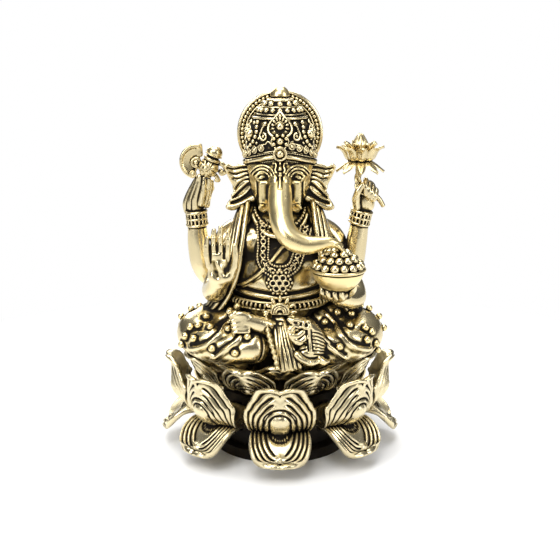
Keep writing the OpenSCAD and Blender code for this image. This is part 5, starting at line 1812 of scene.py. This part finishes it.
def mouse():
    """The mouse sits up against the sash, holding a sweet."""
    clay = Clay([0, -51, SEAT], [25, -31, SEAT + 30], 0.24)
    clay.add(strand([[13.4, -40, 5.6, 5.0], [15.4, -39.6, 10, 6.3], [15.4, -39.8, 15, 5.6],
                     [13.2, -41.2, 19.6, 4.5]], 4), 1.0)
    clay.add(strand([[12.0, -42.6, 22.2, 3.5], [8.6, -44.0, 23.8, 2.9], [5.8, -45.2, 25.0, 1.6],
                     [4.0, -45.6, 25.9, 0.8]], 4), 1.0)
    clay.add(egg(at(13.0, -43.0, 8.8), [5.0, 3.6, 4.4]), 0.6)              # haunch
    for pts in ([[8.0, -45.0, 8.8, 1.9], [10.6, -46.4, 6.6, 1.7], [14.4, -46.6, 5.4, 1.6],
                 [17.6, -45.8, 5.8, 1.3]],
                [[17.6, -43.6, 6.4, 2.1], [20.4, -42.8, 4.6, 1.9], [22.2, -41.6, 4.4, 1.2]],
                [[12.0, -45.0, 17.4, 1.6], [8.8, -46.6, 15.2, 1.5], [6.0, -46.8, 17.0, 1.3],
                 [4.8, -47.2, 19.0, 1.1]],
                [[10.6, -45.2, 19.8, 1.4], [8.0, -46.6, 18.2, 1.3], [6.0, -47.2, 18.6, 1.1]]):
        clay.add(strand(pts, 4), 0.3)
    clay.add(ball(at(4.9, -46.0, 20.9), 2.3), 0.2)                         # the sweet
    for dx in (-0.9, 0.8):
        clay.cut(ball(at(4.9 + dx, -48.1, 21.4), 0.55), 0.2)
    clay.press(raise_path([[3.4, -47.6, 20.2], [4.9, -48.3, 19.7], [6.4, -47.6, 20.2]]), np.array([0.4]), 0.6)
    face = [[5.4, 25.4], [7.6, 26.2], [10.4, 25.2], [10.8, 23.4], [8.6, 22.2], [6.2, 23.4], [5.4, 25.4]]
    clay.press(front(clay, spline(face, 4)), 0.45, -0.8)
    clay.press(front(clay, [[7.0, 24.6], [8.4, 24.4], [9.6, 23.9]]), 0.9, 0.9)
    clay.add(ball(at(8.6, -46.2, 24.2), 0.7), 0.1)
    ear_loop = [[12.2 + 1.7 * math.cos(a), 23.3 + 1.7 * math.sin(a)] for a in np.linspace(0, 2 * np.pi, 17)]
    clay.press(front(clay, ear_loop), 0.55, -1.3)
    clay.press(on_skin(clay, [[12.1, 23.6 + SEAT], [12.3, 23.0 + SEAT]]), 0.7, 1.0)
    for k in range(7):
        z = 19.6 - 1.75 * k
        run = [[14.8 + 0.2 * k, z], [17.4 + 0.25 * k, z - 0.5], [19.6 + 0.3 * k, z - 1.8],
               [21.0 + 0.2 * k, z - 3.4]]
        clay.press(on_skin(clay, [[x, h + SEAT] for x, h in spline(run, 4)]), 0.42, 0.85)
    ribbon = [[13.4, 20.6], [13.5, 17.4], [13.9, 14.0], [14.3, 10.8]]
    clay.press(front(clay, spline(ribbon, 5)), 0.6, -1.0)
    for dx in (-1.1, 1.1):
        clay.press(on_skin(clay, [[x + dx, z + SEAT] for x, z in spline(ribbon, 5)]), 0.38, 0.8)
    for z in (15.4, 13.4, 11.6):
        clay.press(on_skin(clay, [[7.6, z + SEAT], [9.6, z - 0.7 + SEAT], [12.0, z + SEAT]]), 0.45, 0.7)
    for k in range(3):
        clay.press(raise_path([[13.2 + 1.3 * k, -48.0, 6.2], [14.0 + 1.3 * k, -48.2, 4.4]]),
                   np.array([0.35]), 0.6)
    clay.cut(slab(at(12, -41, -6), [30, 30, 6.4]), 0.2)
    s = Soup()
    clay.mesh(s)
    tail = spline(raise_path([[19.4, -37, 7, 1.2], [22.6, -38.6, 9.6, 1.0], [22.8, -40.2, 13, 0.8],
                              [20.6, -41.6, 15.4, 0.6]]), 6)
    tube(s, tail[:, :3], tail[:, 3], 10)
    casting("mouse", s, M_ANTIQUE)


axe()
lotus_flower()
bowl()
sweets()
mouse()


# ---------------------------------------------------------------- how sunk each point lies: patina in the grooves, painted shade between parts
def world_mesh(obj):
    me = obj.data
    me.calc_loop_triangles()
    v = np.empty(len(me.vertices) * 3, np.float32)
    me.vertices.foreach_get("co", v)
    t = np.empty(len(me.loop_triangles) * 3, np.int32)
    me.loop_triangles.foreach_get("vertices", t)
    return v.reshape(-1, 3) / MM, t.reshape(-1, 3)


def box_blur(a, reach):
    for _ in range(2):
        for ax in range(3):
            a = np.moveaxis(a, ax, 0)
            pad = np.concatenate([np.repeat(a[:1], reach + 1, 0), a, np.repeat(a[-1:], reach, 0)])
            s = np.cumsum(pad, 0, dtype=np.float32)
            a = np.moveaxis((s[2 * reach + 1:] - s[:-2 * reach - 1]) / (2 * reach + 1), 0, ax)
    return a


def sample(a, p):
    i = np.clip(np.floor(p).astype(int), 0, np.array(a.shape) - 2)
    f = np.clip(p - i, 0, 1)
    out = 0
    for dx in (0, 1):
        for dy in (0, 1):
            for dz in (0, 1):
                w = (np.where(dx, f[:, 0], 1 - f[:, 0]) * np.where(dy, f[:, 1], 1 - f[:, 1])
                     * np.where(dz, f[:, 2], 1 - f[:, 2]))
                out = out + w * a[i[:, 0] + dx, i[:, 1] + dy, i[:, 2] + dz]
    return out


def store_patina_and_shade(objects):
    """Blur the whole solid and keep, for each point, how much metal stands round it: the fine blur gives
    patina in the grooves, the broad one painted shade between parts.
    """
    cell = 0.5
    meshes = [world_mesh(o) for o in objects]
    pts = np.concatenate([m[0] for m in meshes])
    base = np.cumsum([0] + [len(m[0]) for m in meshes])
    tris = np.concatenate([m[1] + b for m, b in zip(meshes, base)])
    lo = pts.min(0) - 6
    n = np.ceil((pts.max(0) + 6 - lo) / cell).astype(int) + 1
    grid = openvdb.FloatGrid.createLevelSetFromPolygons(
        ((pts - lo) / cell).astype(np.float32), triangles=tris.astype(np.uint32),
        transform=openvdb.createLinearTransform(1.0), halfWidth=3.0)
    dist = np.full(n, 3.0, np.float32)
    grid.copyToArray(dist)
    solid = np.clip(0.5 - dist, 0, 1)
    fine = box_blur(solid, max(int(round(0.7 / cell)), 1))
    # the broad blur darkens where parts crowd each other: painted shade
    broad_shade = box_blur(solid, int(round(3.0 / cell)))
    for obj, (v, _) in zip(objects, meshes):
        p = (v - lo) / cell
        col = np.ones((len(v), 4), np.float32)
        col[:, 0] = np.clip(sample(fine, p) + 0.26 * STAINS_AND_SHADE.get(obj.name, 0), 0, 1)
        col[:, 1] = np.clip(sample(broad_shade, p), 0, 1)
        att = obj.data.color_attributes.new("hollow_patina_and_shade", "FLOAT_COLOR", "POINT")
        att.data.foreach_set("color", col.ravel())


CAD_KEPT = {"lotus_drum": M_PATINA, "seat_disc": M_PATINA, "mounting_screw": M_STEEL,
            "mounting_washer": M_STEEL}
for node_name, mat in CAD_KEPT.items():
    obj = bpy.data.objects[node_name]
    if obj.data.materials:
        for i in range(len(obj.material_slots)):
            obj.material_slots[i].material = mat
    else:
        obj.data.materials.append(mat)
store_patina_and_shade(PIECES)


# ---------------------------------------------------------------- floor, light and camera
def floor():
    """A pale table that fades into the white behind it."""
    bpy.ops.mesh.primitive_circle_add(vertices=96, radius=3.0, fill_type="NGON", location=(0, 0, 0))
    obj = bpy.context.object
    obj.name = "studio_floor"
    mat = bpy.data.materials.new("studio_floor")
    mat.use_nodes = True
    nt = mat.node_tree
    bsdf = nt.nodes["Principled BSDF"]
    bsdf.inputs["Base Color"].default_value = (0.93, 0.93, 0.93, 1)
    bsdf.inputs["Roughness"].default_value = 0.85
    bsdf.inputs["Specular IOR Level"].default_value = 0.1
    coord = nt.nodes.new("ShaderNodeTexCoord")
    far = nt.nodes.new("ShaderNodeVectorMath")
    far.operation = "LENGTH"
    nt.links.new(coord.outputs["Object"], far.inputs[0])
    edge = nt.nodes.new("ShaderNodeMapRange")
    edge.inputs["From Min"].default_value = 0.09
    edge.inputs["From Max"].default_value = 0.3
    nt.links.new(far.outputs["Value"], edge.inputs["Value"])
    glow = nt.nodes.new("ShaderNodeEmission")
    glow.inputs[0].default_value = (1, 1, 1, 1)
    glow.inputs[1].default_value = 1.0
    mix = nt.nodes.new("ShaderNodeMixShader")
    nt.links.new(edge.outputs[0], mix.inputs[0])
    nt.links.new(bsdf.outputs[0], mix.inputs[1])
    nt.links.new(glow.outputs[0], mix.inputs[2])
    nt.links.new(mix.outputs[0], nt.nodes["Material Output"].inputs[0])
    obj.data.materials.append(mat)


def area_light(name, where, size, power):
    data = bpy.data.lights.new(name, "AREA")
    data.shape = "RECTANGLE"
    data.size, data.size_y = size
    data.energy = power
    obj = bpy.data.objects.new(name, data)
    obj.location = where
    target = Vector((0, 0, 0.085))
    obj.rotation_euler = (target - Vector(where)).to_track_quat("-Z", "Y").to_euler()
    bpy.context.scene.collection.objects.link(obj)


def world():
    """White to the eye; a darker room with a bright ceiling for what the brass mirrors."""
    w = bpy.data.worlds.new("studio")
    bpy.context.scene.world = w
    w.use_nodes = True
    nt = w.node_tree
    nt.nodes.clear()
    out = nt.nodes.new("ShaderNodeOutputWorld")
    seen = nt.nodes.new("ShaderNodeBackground")
    seen.inputs[0].default_value = (1, 1, 1, 1)
    seen.inputs[1].default_value = 1.0
    room = nt.nodes.new("ShaderNodeBackground")
    room.inputs[1].default_value = 0.6
    coord = nt.nodes.new("ShaderNodeTexCoord")
    sep = nt.nodes.new("ShaderNodeSeparateXYZ")
    nt.links.new(coord.outputs["Generated"], sep.inputs[0])
    ramp = nt.nodes.new("ShaderNodeValToRGB")
    stops = [(0.0, 0.6), (1.0, 0.6), (0.44, 0.14), (0.56, 0.17), (0.8, 0.34)]
    for i, (pos, g) in enumerate(stops):
        e = ramp.color_ramp.elements[i] if i < 2 else ramp.color_ramp.elements.new(pos)
        e.position, e.color = pos, (g, g, g, 1)
    half = nt.nodes.new("ShaderNodeMath")
    half.operation = "MULTIPLY_ADD"
    half.inputs[1].default_value = 0.5
    half.inputs[2].default_value = 0.5
    nt.links.new(sep.outputs[2], half.inputs[0])
    nt.links.new(half.outputs[0], ramp.inputs[0])
    nt.links.new(ramp.outputs[0], room.inputs[0])
    path = nt.nodes.new("ShaderNodeLightPath")
    mix = nt.nodes.new("ShaderNodeMixShader")
    nt.links.new(path.outputs["Is Camera Ray"], mix.inputs[0])
    nt.links.new(room.outputs[0], mix.inputs[1])
    nt.links.new(seen.outputs[0], mix.inputs[2])
    nt.links.new(mix.outputs[0], out.inputs[0])


def camera():
    elevation = math.radians(13.5)
    reach = 0.54
    aim = Vector((0, 0, 0.0836))
    data = bpy.data.cameras.new("camera")
    data.sensor_width = 36
    data.lens = 69.4
    data.clip_end = 20
    obj = bpy.data.objects.new("camera", data)
    obj.location = aim + Vector((0, -math.cos(elevation), math.sin(elevation))) * reach
    obj.rotation_euler = (aim - obj.location).to_track_quat("-Z", "Y").to_euler()
    bpy.context.scene.collection.objects.link(obj)
    bpy.context.scene.camera = obj


floor()
area_light("key_left", (-0.62, -0.62, 0.55), (0.3, 0.7), 4.5)
area_light("fill_right", (0.75, -0.5, 0.42), (0.25, 0.7), 3.1)
area_light("front_top", (-0.12, -0.62, 1.0), (0.5, 0.75), 6.2)
area_light("top", (0.0, 0.15, 1.0), (0.8, 0.5), 5.8)
area_light("rim_back", (-0.2, 0.85, 0.6), (0.9, 0.4), 6)
world()
camera()
bpy.context.scene.view_settings.view_transform = "Standard"
